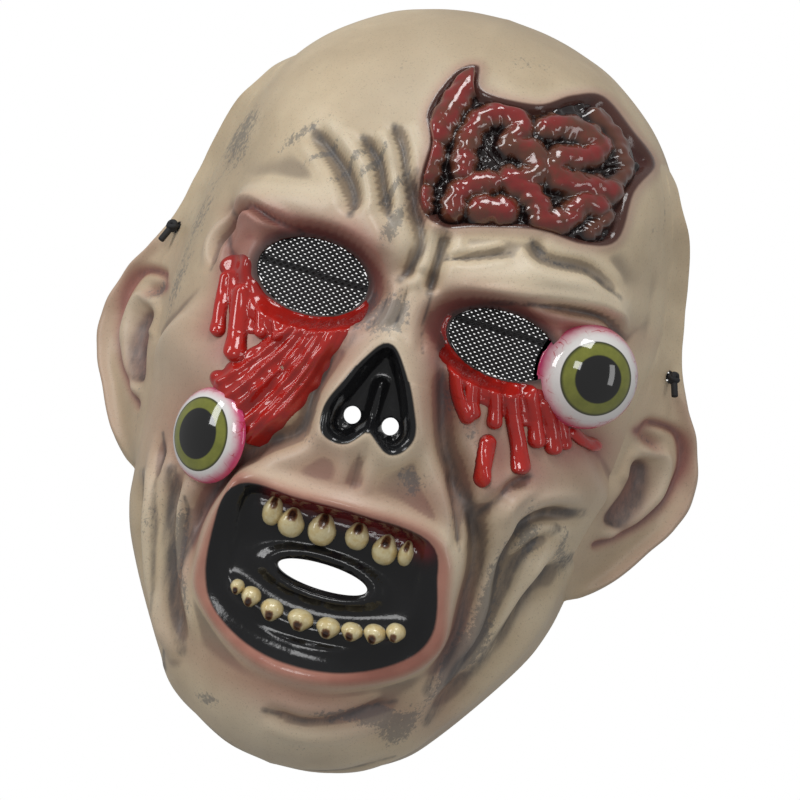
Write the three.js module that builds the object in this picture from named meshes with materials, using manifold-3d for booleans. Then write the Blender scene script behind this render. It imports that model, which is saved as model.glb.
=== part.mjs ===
import * as THREE from "three";
import { mergeVertices } from "three/addons/utils/BufferGeometryUtils.js";
import Module from "manifold-3d";

const wasm = await Module();
wasm.setup();

// Moulded zombie face mask on an elastic cord. Millimetres, +Z up, the face looks towards -Y.
// The origin is midway between the two strap holes.

// Driving sizes
const HALF_W = 95;
const CENTRE_Z = -0.32 * HALF_W;
const FRONT = 92;
const WALL = 2.5;
const GAP = 0.3;
const SHEET = 2.6;
const SWEEP_BACK = 1.0;
const EAR_ROLL = 5;
const EAR_BOWL = 6;
const FOLD_DEPTH = 4;
const FOLD_WIDTH = 6;
const EYE_PLANE = -77;
const EYE_RX = 20.5;
const EYE_RZ = 13.5;
const CORD_D = 2.5;
const STRAP_HOLE_D = 4.2;
const NOSTRIL_D = 6.4;
const MOUTH_FLOOR = -85.7;
const NOSE_FLOOR = -93.6;
const BALL_R = 18;
const TOOTH_OUT = 7;
const PAD_DEEP = 6;
const STRAP_BACK = 113;
const KNOT_R = 2.6;
const KNOT_TAIL = 6.5;

// Cells of the outer skin: columns across, rows up, and how many lie in the finely cut middle
const COLUMNS = { count: 36, fine: 24, low: -0.42, high: 0.42 };
const ROWS = { count: 44, fine: 30, low: -0.54, high: 0.24 };

// Half width of the moulded head at each height, shares of HALF_W
const OUTLINE = [
  { z: 1.163, half: 0.0 },
  { z: 1.15, half: 0.16 },
  { z: 1.115, half: 0.31 },
  { z: 1.05, half: 0.47 },
  { z: 0.9, half: 0.67 },
  { z: 0.71, half: 0.81 },
  { z: 0.5, half: 0.89 },
  { z: 0.3, half: 0.93 },
  { z: 0.1, half: 0.955 },
  { z: -0.2, half: 0.965 },
  { z: -0.5, half: 0.94 },
  { z: -0.9, half: 0.885 },
  { z: -1.1, half: 0.85 },
  { z: -1.28, half: 0.775 },
  { z: -1.6, half: 0.57 },
  { z: -1.75, half: 0.43 },
  { z: -1.86, half: 0.2 },
  { z: -1.885, half: 0.0 },
];

// Depth of the rim behind the strap line by direction round the face, and how square the section is
const RIM = [
  { turn: -90, back: -14, square: 2.5 },
  { turn: -50, back: -6, square: 2.35 },
  { turn: 0, back: 1, square: 2.15 },
  { turn: 45, back: 12, square: 2.4 },
  { turn: 90, back: 24, square: 2.9 },
];

// Folds and ridges along curves. Lift and spread are shares of FOLD_DEPTH and FOLD_WIDTH.
const FOLDS = [
  { part: "left brow", lift: 1.9, spread: 1.6, at: [[-0.73, 0.08], [-0.62, 0.17], [-0.47, 0.2], [-0.33, 0.19], [-0.18, 0.15], [-0.04, 0.08]] },
  { part: "right brow", lift: 1.9, spread: 1.6, at: [[0.13, 0.04], [0.24, 0.1], [0.39, 0.15], [0.53, 0.19], [0.7, 0.18], [0.85, 0.09]] },
  { part: "left furrow", lift: -0.9, spread: 0.65, at: [[-0.09, 0.45], [-0.06, 0.33], [-0.01, 0.26], [0.02, 0.19], [0.01, 0.11], [-0.02, 0.04]] },
  { part: "right furrow", lift: -0.9, spread: 0.6, at: [[0.08, 0.27], [0.09, 0.18], [0.09, 0.1], [0.1, 0.02]] },
  { part: "outer wrinkle", lift: -0.7, spread: 0.7, at: [[-0.54, 0.5], [-0.44, 0.44], [-0.34, 0.36], [-0.28, 0.28], [-0.26, 0.21]] },
  { part: "middle wrinkle", lift: -0.7, spread: 0.6, at: [[-0.33, 0.52], [-0.24, 0.45], [-0.19, 0.36], [-0.13, 0.26]] },
  { part: "inner wrinkle", lift: -0.6, spread: 0.6, at: [[-0.23, 0.6], [-0.17, 0.52], [-0.13, 0.43], [-0.08, 0.34]] },
  { part: "right brow crease", lift: -0.6, spread: 0.6, at: [[0.4, 0.33], [0.47, 0.27], [0.62, 0.28], [0.74, 0.22]] },
  { part: "left cheekbone", lift: 1.5, spread: 2.4, at: [[-0.86, -0.34], [-0.72, -0.42], [-0.52, -0.5], [-0.36, -0.56]] },
  { part: "right cheekbone", lift: 1.6, spread: 2.4, at: [[0.88, -0.4], [0.74, -0.52], [0.56, -0.6], [0.4, -0.62]] },
  { part: "left nose fold", lift: -1.1, spread: 0.9, at: [[-0.13, -0.22], [-0.2, -0.42], [-0.21, -0.6], [-0.33, -0.7], [-0.45, -0.86], [-0.52, -1.05], [-0.5, -1.25]] },
  { part: "right nose fold", lift: -1.3, spread: 0.9, at: [[0.19, -0.12], [0.25, -0.32], [0.33, -0.52], [0.46, -0.7], [0.55, -0.86], [0.56, -1.03], [0.54, -1.22], [0.48, -1.4]] },
  { part: "right cheek ridge", lift: 1.0, spread: 0.7, at: [[0.6, -0.55], [0.56, -0.7], [0.6, -0.95], [0.61, -1.12], [0.55, -1.32]] },
  { part: "upper cheek fold", lift: -1.2, spread: 0.8, at: [[0.84, -0.6], [0.72, -0.66], [0.66, -0.78], [0.66, -0.95], [0.63, -1.13], [0.55, -1.36]] },
  { part: "lower cheek fold", lift: -1.1, spread: 0.8, at: [[0.87, -0.78], [0.79, -0.95], [0.72, -1.14], [0.63, -1.32], [0.5, -1.52]] },
  { part: "left outer fold", lift: -0.9, spread: 0.8, at: [[-0.8, -0.95], [-0.74, -1.17], [-0.62, -1.4], [-0.48, -1.62]] },
  { part: "left inner fold", lift: -0.9, spread: 0.8, at: [[-0.68, -0.9], [-0.63, -1.1], [-0.53, -1.32], [-0.4, -1.52]] },
  { part: "left temple fold", lift: -0.8, spread: 0.8, at: [[-0.74, 0.12], [-0.72, 0.0], [-0.66, -0.1], [-0.66, -0.24]] },
  { part: "left jaw ridge", lift: 0.9, spread: 0.9, at: [[-0.74, -0.85], [-0.68, -1.1], [-0.57, -1.35], [-0.42, -1.58]] },
];

// Swellings: centre and radii are shares of HALF_W, lift in shares of FOLD_DEPTH
const SWELLS = [
  { part: "chin", x: 0.03, z: -1.62, rx: 0.36, rz: 0.2, lift: 3.6 },
  { part: "muzzle", x: 0.04, z: -1.12, rx: 0.58, rz: 0.5, lift: 2.6 },
  { part: "nose", x: 0.02, z: -0.42, rx: 0.22, rz: 0.34, lift: 2.6 },
  { part: "under left cheek", x: -0.62, z: -1.0, rx: 0.16, rz: 0.24, lift: -1.2 },
  { part: "under right cheek", x: 0.66, z: -0.95, rx: 0.14, rz: 0.24, lift: -1.2 },
  { part: "left temple", x: -0.8, z: 0.3, rx: 0.14, rz: 0.24, lift: -0.7 },
  { part: "right temple", x: 0.86, z: 0.26, rx: 0.14, rz: 0.24, lift: -0.7 },
];

// Closed outlines, shares of HALF_W
const LIPS = [
  [-0.38, -0.8], [-0.14, -0.79], [0.1, -0.78], [0.34, -0.79], [0.45, -0.88], [0.48, -1.04], [0.49, -1.22],
  [0.38, -1.38], [0.16, -1.46], [-0.09, -1.47], [-0.3, -1.4], [-0.42, -1.28], [-0.44, -1.12], [-0.42, -0.93],
];
const MOUTH = [
  [-0.33, -0.88], [-0.14, -0.87], [0.1, -0.86], [0.33, -0.88], [0.38, -1.0], [0.4, -1.18],
  [0.32, -1.3], [0.14, -1.37], [-0.08, -1.38], [-0.26, -1.32], [-0.34, -1.22], [-0.36, -1.02],
];
const NOSE = [
  [0.02, -0.22], [0.09, -0.3], [0.15, -0.42], [0.18, -0.52], [0.13, -0.58], [0.04, -0.52],
  [-0.03, -0.59], [-0.1, -0.58], [-0.12, -0.5], [-0.08, -0.4], [-0.04, -0.3],
];
const WOUND = [
  [-0.08, 0.88], [0.0, 0.93], [0.05, 0.84], [0.25, 0.85], [0.36, 0.93], [0.47, 0.97], [0.62, 0.87], [0.73, 0.78],
  [0.7, 0.64], [0.7, 0.44], [0.58, 0.38], [0.42, 0.38], [0.22, 0.33], [0.05, 0.28], [-0.06, 0.38], [-0.08, 0.58], [-0.13, 0.7],
];

// Lobes of the brain: radius in shares of LOBE_R
const LOBE_R = 4.4;
const LOBES = [
  { part: "finger", size: 0.95, at: [[-0.01, 0.88], [-0.04, 0.78], [-0.05, 0.68], [-0.06, 0.63]] },
  { part: "upper bead", size: 0.9, at: [[-0.05, 0.58], [-0.04, 0.49]] },
  { part: "lower bead", size: 0.85, at: [[-0.03, 0.43], [-0.01, 0.36]] },
  { part: "arch", size: 1, at: [[0.08, 0.53], [0.06, 0.64], [0.08, 0.74], [0.15, 0.79], [0.23, 0.77], [0.22, 0.69], [0.31, 0.68]] },
  { part: "bend", size: 1, at: [[0.31, 0.68], [0.35, 0.62], [0.31, 0.57], [0.25, 0.55], [0.33, 0.53], [0.39, 0.49], [0.43, 0.44], [0.51, 0.47], [0.54, 0.54], [0.6, 0.56]] },
  { part: "right bend", size: 1, at: [[0.32, 0.79], [0.4, 0.82], [0.49, 0.81], [0.54, 0.77], [0.49, 0.72], [0.42, 0.7], [0.4, 0.64], [0.46, 0.61], [0.55, 0.62], [0.63, 0.63]] },
  { part: "strand", size: 0.7, at: [[0.48, 0.91], [0.57, 0.86], [0.62, 0.8], [0.66, 0.73], [0.64, 0.67]] },
  { part: "lower arch", size: 1, at: [[0.2, 0.52], [0.15, 0.5], [0.09, 0.44], [0.09, 0.37]] },
  { part: "oval", size: 1.1, at: [[0.19, 0.41], [0.28, 0.43]] },
  { part: "tail", size: 0.7, at: [[0.61, 0.45], [0.65, 0.53]] },
];

// Gore that runs from under each eye, radius in shares of DRIP_R
const DRIP_R = 2.9;
const DRIPS = [
  { part: "left corner", size: 1, at: [[-0.6, -0.1], [-0.65, -0.22], [-0.65, -0.35]] },
  { part: "left second", size: 1, at: [[-0.52, -0.16], [-0.55, -0.28], [-0.55, -0.42]] },
  { part: "left third", size: 0.9, at: [[-0.46, -0.2], [-0.47, -0.25], [-0.47, -0.31]] },
  { part: "outer nerve", size: 1, at: [[-0.3, -0.2], [-0.36, -0.36], [-0.43, -0.52], [-0.47, -0.62]] },
  { part: "middle nerve", size: 1, at: [[-0.23, -0.17], [-0.29, -0.32], [-0.37, -0.48], [-0.43, -0.64]] },
  { part: "inner nerve", size: 0.9, at: [[-0.19, -0.13], [-0.22, -0.26], [-0.3, -0.42], [-0.37, -0.56]] },
  { part: "right inner", size: 1, at: [[0.24, -0.16], [0.3, -0.28], [0.38, -0.39]] },
  { part: "right second", size: 1, at: [[0.3, -0.2], [0.38, -0.3], [0.46, -0.38]] },
  { part: "right long", size: 0.9, at: [[0.36, -0.22], [0.44, -0.38], [0.5, -0.59]] },
  { part: "right fourth", size: 0.9, at: [[0.42, -0.22], [0.51, -0.36], [0.58, -0.5]] },
  { part: "right fifth", size: 0.9, at: [[0.5, -0.24], [0.57, -0.32], [0.62, -0.39]] },
  { part: "under the ball", size: 0.9, at: [[0.62, -0.3], [0.7, -0.36], [0.78, -0.35]] },
];

// Teeth: place and half sizes are shares of HALF_W
const TEETH = [
  { part: "upper 1", x: -0.26, z: -0.945, wide: 0.042, tall: 0.065 },
  { part: "upper 2", x: -0.17, z: -0.955, wide: 0.046, tall: 0.068 },
  { part: "upper 3", x: -0.05, z: -0.955, wide: 0.052, tall: 0.072 },
  { part: "upper 4", x: 0.09, z: -0.95, wide: 0.052, tall: 0.072 },
  { part: "upper 5", x: 0.21, z: -0.96, wide: 0.05, tall: 0.07 },
  { part: "upper 6", x: 0.31, z: -0.965, wide: 0.034, tall: 0.062 },
  { part: "lower 1", x: -0.29, z: -1.245, wide: 0.03, tall: 0.04 },
  { part: "lower 2", x: -0.225, z: -1.265, wide: 0.034, tall: 0.044 },
  { part: "lower 3", x: -0.13, z: -1.29, wide: 0.046, tall: 0.05 },
  { part: "lower 4", x: -0.01, z: -1.3, wide: 0.05, tall: 0.052 },
  { part: "lower 5", x: 0.1, z: -1.295, wide: 0.044, tall: 0.05 },
  { part: "lower 6", x: 0.19, z: -1.28, wide: 0.038, tall: 0.046 },
  { part: "lower 7", x: 0.275, z: -1.26, wide: 0.036, tall: 0.044 },
  { part: "lower 8", x: 0.345, z: -1.235, wide: 0.03, tall: 0.04 },
];

// Web and ear: outer edge at each height, shares of HALF_W
const EAR = [
  { z: 0.62, reach: 0.885 },
  { z: 0.5, reach: 0.945 },
  { z: 0.3, reach: 0.99 },
  { z: 0.15, reach: 1.02 },
  { z: 0.02, reach: 1.055 },
  { z: -0.09, reach: 1.1 },
  { z: -0.2, reach: 1.165 },
  { z: -0.33, reach: 1.21 },
  { z: -0.45, reach: 1.22 },
  { z: -0.57, reach: 1.185 },
  { z: -0.68, reach: 1.12 },
  { z: -0.78, reach: 1.06 },
  { z: -0.86, reach: 1.0 },
  { z: -0.92, reach: 0.94 },
  { z: -0.96, reach: 0.88 },
];

const EYES = {
  left: { x: -0.36 * HALF_W, z: -0.04 * HALF_W, tilt: 2 },
  right: { x: 0.41 * HALF_W, z: -0.06 * HALF_W, tilt: -4 },
};
const BALLS = {
  left: { x: -0.53, z: -0.73, radius: 0.945 * BALL_R, high: 0.445 * BALL_R, turn: -38, lean: -6, out: 0 },
  right: { x: 0.74, z: -0.12, radius: 1.03 * BALL_R, high: 0.945 * BALL_R, turn: 22, lean: 0, out: 0.055 * BALL_R },
};

// Small maths
function lookUp(rows, key, value, at) {
  const up = rows[0][key] < rows[rows.length - 1][key];
  const list = up ? rows : [...rows].reverse();
  if (at <= list[0][key]) return list[0][value];
  for (let i = 1; i < list.length; i++) {
    if (at <= list[i][key]) {
      const t = (at - list[i - 1][key]) / (list[i][key] - list[i - 1][key]);
      const s = t * t * (3 - 2 * t);
      return list[i - 1][value] + (list[i][value] - list[i - 1][value]) * (value === "back" ? s : t);
    }
  }
  return list[list.length - 1][value];
}

function polyline(points, closed, count) {
  const curve = new THREE.CatmullRomCurve3(points.map(([x, z]) => new THREE.Vector3(x * HALF_W, 0, z * HALF_W)), closed);
  return curve.getPoints(count ?? points.length * 4).map((p) => [p.x, p.z]);
}

function nearest(line, x, z) {
  let best = { far: Infinity, along: 0 };
  for (let i = 0; i + 1 < line.length; i++) {
    const [ax, az] = line[i];
    const [bx, bz] = line[i + 1];
    const len = (bx - ax) ** 2 + (bz - az) ** 2 || 1e-9;
    const t = Math.min(1, Math.max(0, ((x - ax) * (bx - ax) + (z - az) * (bz - az)) / len));
    const far = Math.hypot(x - ax - t * (bx - ax), z - az - t * (bz - az));
    if (far < best.far) best = { far, along: (i + t) / (line.length - 1) };
  }
  return best;
}

function inside(line, x, z) {
  let odd = false;
  for (let i = 0, j = line.length - 1; i < line.length; j = i++) {
    const [ax, az] = line[i];
    const [bx, bz] = line[j];
    if (az > z !== bz > z && x < ((bx - ax) * (z - az)) / (bz - az) + ax) odd = !odd;
  }
  return odd;
}

const signedFar = (line, x, z) => (inside(line, x, z) ? -1 : 1) * nearest(line, x, z).far;
const smooth = (t) => {
  const c = Math.min(1, Math.max(0, t));
  return c * c * (3 - 2 * c);
};
const bell = (t) => Math.exp(-t * t);

// The head without its features
const outlineCurve = new THREE.CatmullRomCurve3(
  OUTLINE.map((row) => new THREE.Vector3(row.half * HALF_W, 0, row.z * HALF_W)), false, "centripetal");
const outlinePoints = outlineCurve.getPoints(160);

function reach(turn) {
  const dx = Math.abs(Math.cos(turn));
  const dz = Math.sin(turn);
  let best = 0;
  for (let i = 0; i + 1 < outlinePoints.length; i++) {
    const a = outlinePoints[i];
    const b = outlinePoints[i + 1];
    const ca = dx * (a.z - CENTRE_Z) - dz * a.x;
    const cb = dx * (b.z - CENTRE_Z) - dz * b.x;
    if (ca * cb > 0 && Math.abs(ca) > 1e-9) continue;
    const t = ca / (ca - cb || 1e-9);
    const x = a.x + t * (b.x - a.x);
    const z = a.z + t * (b.z - a.z) - CENTRE_Z;
    if (x * dx + z * dz > 0) best = Math.max(best, Math.hypot(x, z));
  }
  return best;
}
const reachTable = Array.from({ length: 361 }, (_, i) => reach(((i - 180) * Math.PI) / 180));
function reachAt(turn) {
  const d = (turn * 180) / Math.PI + 180;
  const i = Math.min(359, Math.max(0, Math.floor(d)));
  return reachTable[i] + (reachTable[i + 1] - reachTable[i]) * (d - i);
}

function rimAt(turn) {
  const fold = Math.asin(Math.sin(turn)) * (180 / Math.PI);
  return { back: lookUp(RIM, "turn", "back", fold), square: lookUp(RIM, "turn", "square", fold) };
}

function headPoint(share, turn) {
  const r = reachAt(turn) * share;
  const { back, square } = rimAt(turn);
  const deep = Math.pow(Math.max(0, 1 - Math.pow(Math.min(1, share), square)), 1 / square);
  return new THREE.Vector3(r * Math.cos(turn), back - (back + FRONT) * deep, CENTRE_Z + r * Math.sin(turn));
}

function headNormal(share, turn) {
  if (share < 0.02) return new THREE.Vector3(0, -1, 0);
  const low = Math.max(0.001, share - 0.004);
  const high = Math.min(1, share + 0.004);
  const out = headPoint(high, turn).sub(headPoint(low, turn));
  const round = headPoint(share, turn + 0.01).sub(headPoint(share, turn - 0.01));
  return out.cross(round).normalize();
}

// The features
const folds = FOLDS.map((row) => ({ ...row, line: polyline(row.at, false) }));
const lips = polyline(LIPS, true, 48);
const mouth = polyline(MOUTH, true, 30);
const nose = polyline(NOSE, true, 28);
const wound = polyline(WOUND, true, 60);

function eyeShare(eye, x, z) {
  const t = (eye.tilt * Math.PI) / 180;
  const dx = x - eye.x;
  const dz = z - eye.z;
  return Math.hypot((dx * Math.cos(t) + dz * Math.sin(t)) / EYE_RX, (dz * Math.cos(t) - dx * Math.sin(t)) / EYE_RZ);
}

function lift(x, z) {
  let h = 0;
  for (const fold of folds) {
    const { far, along } = nearest(fold.line, x, z);
    const taper = smooth(Math.min(along, 1 - along) * 5 + 0.15);
    h += fold.lift * FOLD_DEPTH * taper * bell(far / (fold.spread * FOLD_WIDTH));
  }
  for (const row of SWELLS) {
    h += row.lift * FOLD_DEPTH * bell(Math.hypot((x / HALF_W - row.x) / row.rx, (z / HALF_W - row.z) / row.rz));
  }
  h += 4.5 * bell((signedFar(lips, x, z) + 3) / 4.5);
  h += 2.6 * bell((signedFar(nose, x, z) - 2.5) / 3.2);
  const hurt = signedFar(wound, x, z);
  h += 2 * bell((hurt - 1) / 3) - 2.2 * smooth((-hurt) / 5);
  return h;
}

function sink(x, z, y) {
  let at = y;
  for (const eye of Object.values(EYES)) {
    const share = eyeShare(eye, x, z);
    const pull = 1 - smooth((share - 1.12) / 0.55);
    at += (EYE_PLANE - at) * pull;
  }
  return at - y;
}

// How far the inner face stands back so that a pocket keeps a wall behind it
function pocket(x, z, y) {
  const behindMouth = (MOUTH_FLOOR - y) * smooth((4 - signedFar(mouth, x, z)) / 3);
  const behindNose = (NOSE_FLOOR - y) * smooth((4 - signedFar(nose, x, z)) / 3);
  return Math.max(0, behindMouth, behindNose);
}

function skinPoint(share, turn) {
  const p = headPoint(share, turn);
  const n = headNormal(share, turn);
  const edge = smooth((1 - share) / 0.05);
  p.addScaledVector(n, lift(p.x, p.z) * edge);
  const deep = sink(p.x, p.z, p.y) * edge;
  return { at: p, normal: n, deep, behind: deep + pocket(p.x, p.z, p.y + deep) };
}

function onSkin(x, z) {
  const turn = Math.atan2(z - CENTRE_Z, x);
  const share = Math.hypot(x, z - CENTRE_Z) / reachAt(turn);
  const { at, normal, deep } = skinPoint(Math.min(0.999, share), turn);
  return { at: new THREE.Vector3(at.x, at.y + deep, at.z), normal };
}

// Solids
function solid(positions, indices) {
  let g = new THREE.BufferGeometry();
  g.setAttribute("position", new THREE.Float32BufferAttribute(positions, 3));
  g.setIndex(indices);
  return toManifold(g);
}

function toManifold(geometry) {
  let g = geometry.clone();
  g.deleteAttribute("normal");
  g.deleteAttribute("uv");
  g = mergeVertices(g, 1e-4);
  const index = Array.from(g.getIndex().array);
  const keep = [];
  for (let i = 0; i < index.length; i += 3) {
    const [a, b, c] = index.slice(i, i + 3);
    if (a !== b && b !== c && c !== a) keep.push(a, b, c);
  }
  const pos = g.getAttribute("position").array;
  let volume = 0;
  for (let i = 0; i < keep.length; i += 3) {
    const [a, b, c] = keep.slice(i, i + 3).map((k) => new THREE.Vector3().fromArray(pos, 3 * k));
    volume += a.dot(b.cross(c)) / 6;
  }
  if (volume < 0) for (let i = 0; i < keep.length; i += 3) [keep[i], keep[i + 1]] = [keep[i + 1], keep[i]];
  return new wasm.Manifold(
    new wasm.Mesh({ numProp: 3, vertProperties: new Float32Array(pos), triVerts: new Uint32Array(keep) }));
}

function toGeometry(manifold) {
  const mesh = manifold.getMesh();
  const g = new THREE.BufferGeometry();
  g.setAttribute("position", new THREE.BufferAttribute(new Float32Array(mesh.vertProperties), 3));
  g.setIndex(new THREE.BufferAttribute(new Uint32Array(mesh.triVerts), 1));
  g.computeVertexNormals();
  return g;
}

function gridLines({ count, fine, low, high }) {
  const below = Math.round(((count - fine) * (1 + low)) / (2 + low - high));
  const above = count - fine - below;
  const lines = [];
  for (let i = 0; i < below; i++) lines.push(-1 + ((1 + low) * i) / below);
  for (let i = 0; i < fine; i++) lines.push(low + ((high - low) * i) / fine);
  for (let i = 0; i <= above; i++) lines.push(high + ((1 - high) * i) / above);
  return lines;
}

function faceSheet() {
  const across = gridLines(COLUMNS);
  const up = gridLines(ROWS);
  const nx = across.length;
  const nz = up.length;
  const skin = up.map((b) =>
    across.map((a) => {
      const u = a * Math.sqrt(1 - (b * b) / 2);
      const v = b * Math.sqrt(1 - (a * a) / 2);
      const share = Math.sin((Math.min(1, Math.hypot(u, v)) * Math.PI) / 2);
      const turn = Math.atan2(v, u);
      const base = headPoint(share, turn);
      const { at, normal, deep, behind } = skinPoint(share, turn);
      const high = at.clone().sub(base).dot(normal);
      return { base, normal, high, behind, at: new THREE.Vector3(at.x, at.y + deep, at.z) };
    }));
  const pos = [];
  const idx = [];
  const outer = (i, j) => j * nx + i;
  for (const row of skin) for (const v of row) pos.push(...v.at.toArray());
  const first = nx * nz;
  const half = (nx + 1) / 2;
  const inner = (i, j) => first + (j / 2) * half + i / 2;
  for (let j = 0; j < nz; j += 2) {
    for (let i = 0; i < nx; i += 2) {
      let high = Infinity;
      let deep = -Infinity;
      for (let q = Math.max(0, j - 1); q <= Math.min(nz - 1, j + 1); q++) {
        for (let p = Math.max(0, i - 1); p <= Math.min(nx - 1, i + 1); p++) {
          high = Math.min(high, skin[q][p].high);
          deep = Math.max(deep, skin[q][p].behind);
        }
      }
      const v = skin[j][i];
      const edge = i === 0 || j === 0 || i === nx - 1 || j === nz - 1;
      const at = v.base.clone().addScaledVector(v.normal, (edge ? v.high : high) - WALL);
      if (!edge) at.y += deep;
      pos.push(...at.toArray());
    }
  }
  const quad = (a, b, c, d) => idx.push(a, b, c, a, c, d);
  for (let j = 0; j + 1 < nz; j++) {
    for (let i = 0; i + 1 < nx; i++) quad(outer(i, j), outer(i + 1, j), outer(i + 1, j + 1), outer(i, j + 1));
  }
  for (let j = 0; j + 2 < nz; j += 2) {
    for (let i = 0; i + 2 < nx; i += 2) quad(inner(i, j), inner(i, j + 2), inner(i + 2, j + 2), inner(i + 2, j));
  }
  const rim = (o0, o1, o2, i0, i2) => idx.push(o0, i0, o1, o1, i0, i2, o1, i2, o2);
  for (let i = 0; i + 2 < nx; i += 2) {
    rim(outer(i, 0), outer(i + 1, 0), outer(i + 2, 0), inner(i, 0), inner(i + 2, 0));
    rim(outer(i + 2, nz - 1), outer(i + 1, nz - 1), outer(i, nz - 1), inner(i + 2, nz - 1), inner(i, nz - 1));
  }
  for (let j = 0; j + 2 < nz; j += 2) {
    rim(outer(nx - 1, j), outer(nx - 1, j + 1), outer(nx - 1, j + 2), inner(nx - 1, j), inner(nx - 1, j + 2));
    rim(outer(0, j + 2), outer(0, j + 1), outer(0, j), inner(0, j + 2), inner(0, j));
  }
  return solid(pos, idx);
}

function earSheet(side) {
  const out = 6;
  const pos = [];
  const idx = [];
  const facing = new THREE.Vector3(side * SWEEP_BACK, -1, 0).normalize();
  for (const back of [0, 1]) {
    for (const { z, reach: edge } of EAR) {
      const root = widthAt(z) - 1.4;
      const tip = Math.max(root + 2, edge * HALF_W);
      for (let i = 0; i <= out; i++) {
        const u = Math.pow(i / out, 0.85);
        const x = root + (tip - root) * u;
        const p = new THREE.Vector3(side * x, (x - HALF_W) * SWEEP_BACK, z * HALF_W);
        const ear = smooth((0.04 - z) / 0.16) * smooth((z + 0.99) / 0.16);
        const bowl = bell(Math.hypot((u - 0.32) / 0.26, (z + 0.52) / 0.2));
        const fossa = bell(Math.hypot((u - 0.62) / 0.16, (z + 0.24) / 0.16));
        const roll = bell((u - 0.93) / 0.13) + 0.55 * bell((u - 0.6) / 0.12) * smooth((z + 0.8) / 0.2);
        const rise = (EAR_ROLL * roll - EAR_BOWL * bowl - 0.5 * EAR_BOWL * fossa) * ear * smooth(u / 0.15);
        p.addScaledVector(facing, rise - back * SHEET + SHEET / 2);
        pos.push(...p.toArray());
      }
    }
  }
  const down = EAR.length - 1;
  const n = out + 1;
  const size = n * (down + 1);
  const quad = (a, b, c, d) => idx.push(a, b, c, a, c, d);
  for (let j = 0; j < down; j++) {
    for (let i = 0; i < out; i++) {
      const a = j * n + i;
      quad(a, a + n, a + n + 1, a + 1);
      quad(size + a, size + a + 1, size + a + n + 1, size + a + n);
    }
    quad(j * n, size + j * n, size + (j + 1) * n, (j + 1) * n);
    quad(j * n + out, (j + 1) * n + out, size + (j + 1) * n + out, size + j * n + out);
  }
  for (let i = 0; i < out; i++) {
    quad(i, i + 1, size + i + 1, size + i);
    const k = down * n + i;
    quad(k, size + k, size + k + 1, k + 1);
  }
  return solid(pos, idx);
}

function widthAt(z) {
  let best = 0;
  for (let i = 0; i + 1 < outlinePoints.length; i++) {
    const a = outlinePoints[i];
    const b = outlinePoints[i + 1];
    if ((a.z - z * HALF_W) * (b.z - z * HALF_W) <= 0) {
      const t = (z * HALF_W - a.z) / (b.z - a.z || 1e-9);
      best = Math.max(best, a.x + t * (b.x - a.x));
    }
  }
  return best;
}

// The brain in the wound: lobes stand up from a floor that dips under the skin outside the wound
function brain() {
  const cells = { across: 24, up: 21 };
  const box = { x0: -0.17, x1: 0.76, z0: 0.25, z1: 0.98 };
  const lobes = LOBES.map((row) => ({ radius: row.size * LOBE_R, line: polyline(row.at, false) }));
  const pos = [];
  const idx = [];
  for (const top of [1, 0]) {
    for (let j = 0; j <= cells.up; j++) {
      for (let i = 0; i <= cells.across; i++) {
        const x = (box.x0 + ((box.x1 - box.x0) * i) / cells.across) * HALF_W;
        const z = (box.z0 + ((box.z1 - box.z0) * j) / cells.up) * HALF_W;
        const turn = Math.atan2(z - CENTRE_Z, x);
        const share = Math.min(0.98, Math.hypot(x, z - CENTRE_Z) / reachAt(turn));
        const at = headPoint(share, turn);
        const inWound = smooth(-signedFar(wound, x, z) / 4);
        let lobe = 0;
        for (const { radius, line } of lobes) {
          lobe = Math.max(lobe, radius * 1.3 * bell(nearest(line, x, z).far / (radius * 0.85)));
        }
        at.addScaledVector(headNormal(share, turn), top ? inWound * (1 + lobe) - 3 : -3.6);
        pos.push(...at.toArray());
      }
    }
  }
  const n = cells.across + 1;
  const size = n * (cells.up + 1);
  const quad = (a, b, c, d) => idx.push(a, b, c, a, c, d);
  for (let j = 0; j < cells.up; j++) {
    for (let i = 0; i < cells.across; i++) {
      const a = j * n + i;
      quad(a, a + 1, a + n + 1, a + n);
      quad(size + a, size + a + n, size + a + n + 1, size + a + 1);
    }
    quad(j * n, (j + 1) * n, size + (j + 1) * n, size + j * n);
    const k = j * n + cells.across;
    quad(k, size + k, size + k + n, k + n);
  }
  for (let i = 0; i < cells.across; i++) {
    quad(i, size + i, size + i + 1, i + 1);
    const k = cells.up * n + i;
    quad(k, k + 1, size + k + 1, size + k);
  }
  return solid(pos, idx);
}

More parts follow.
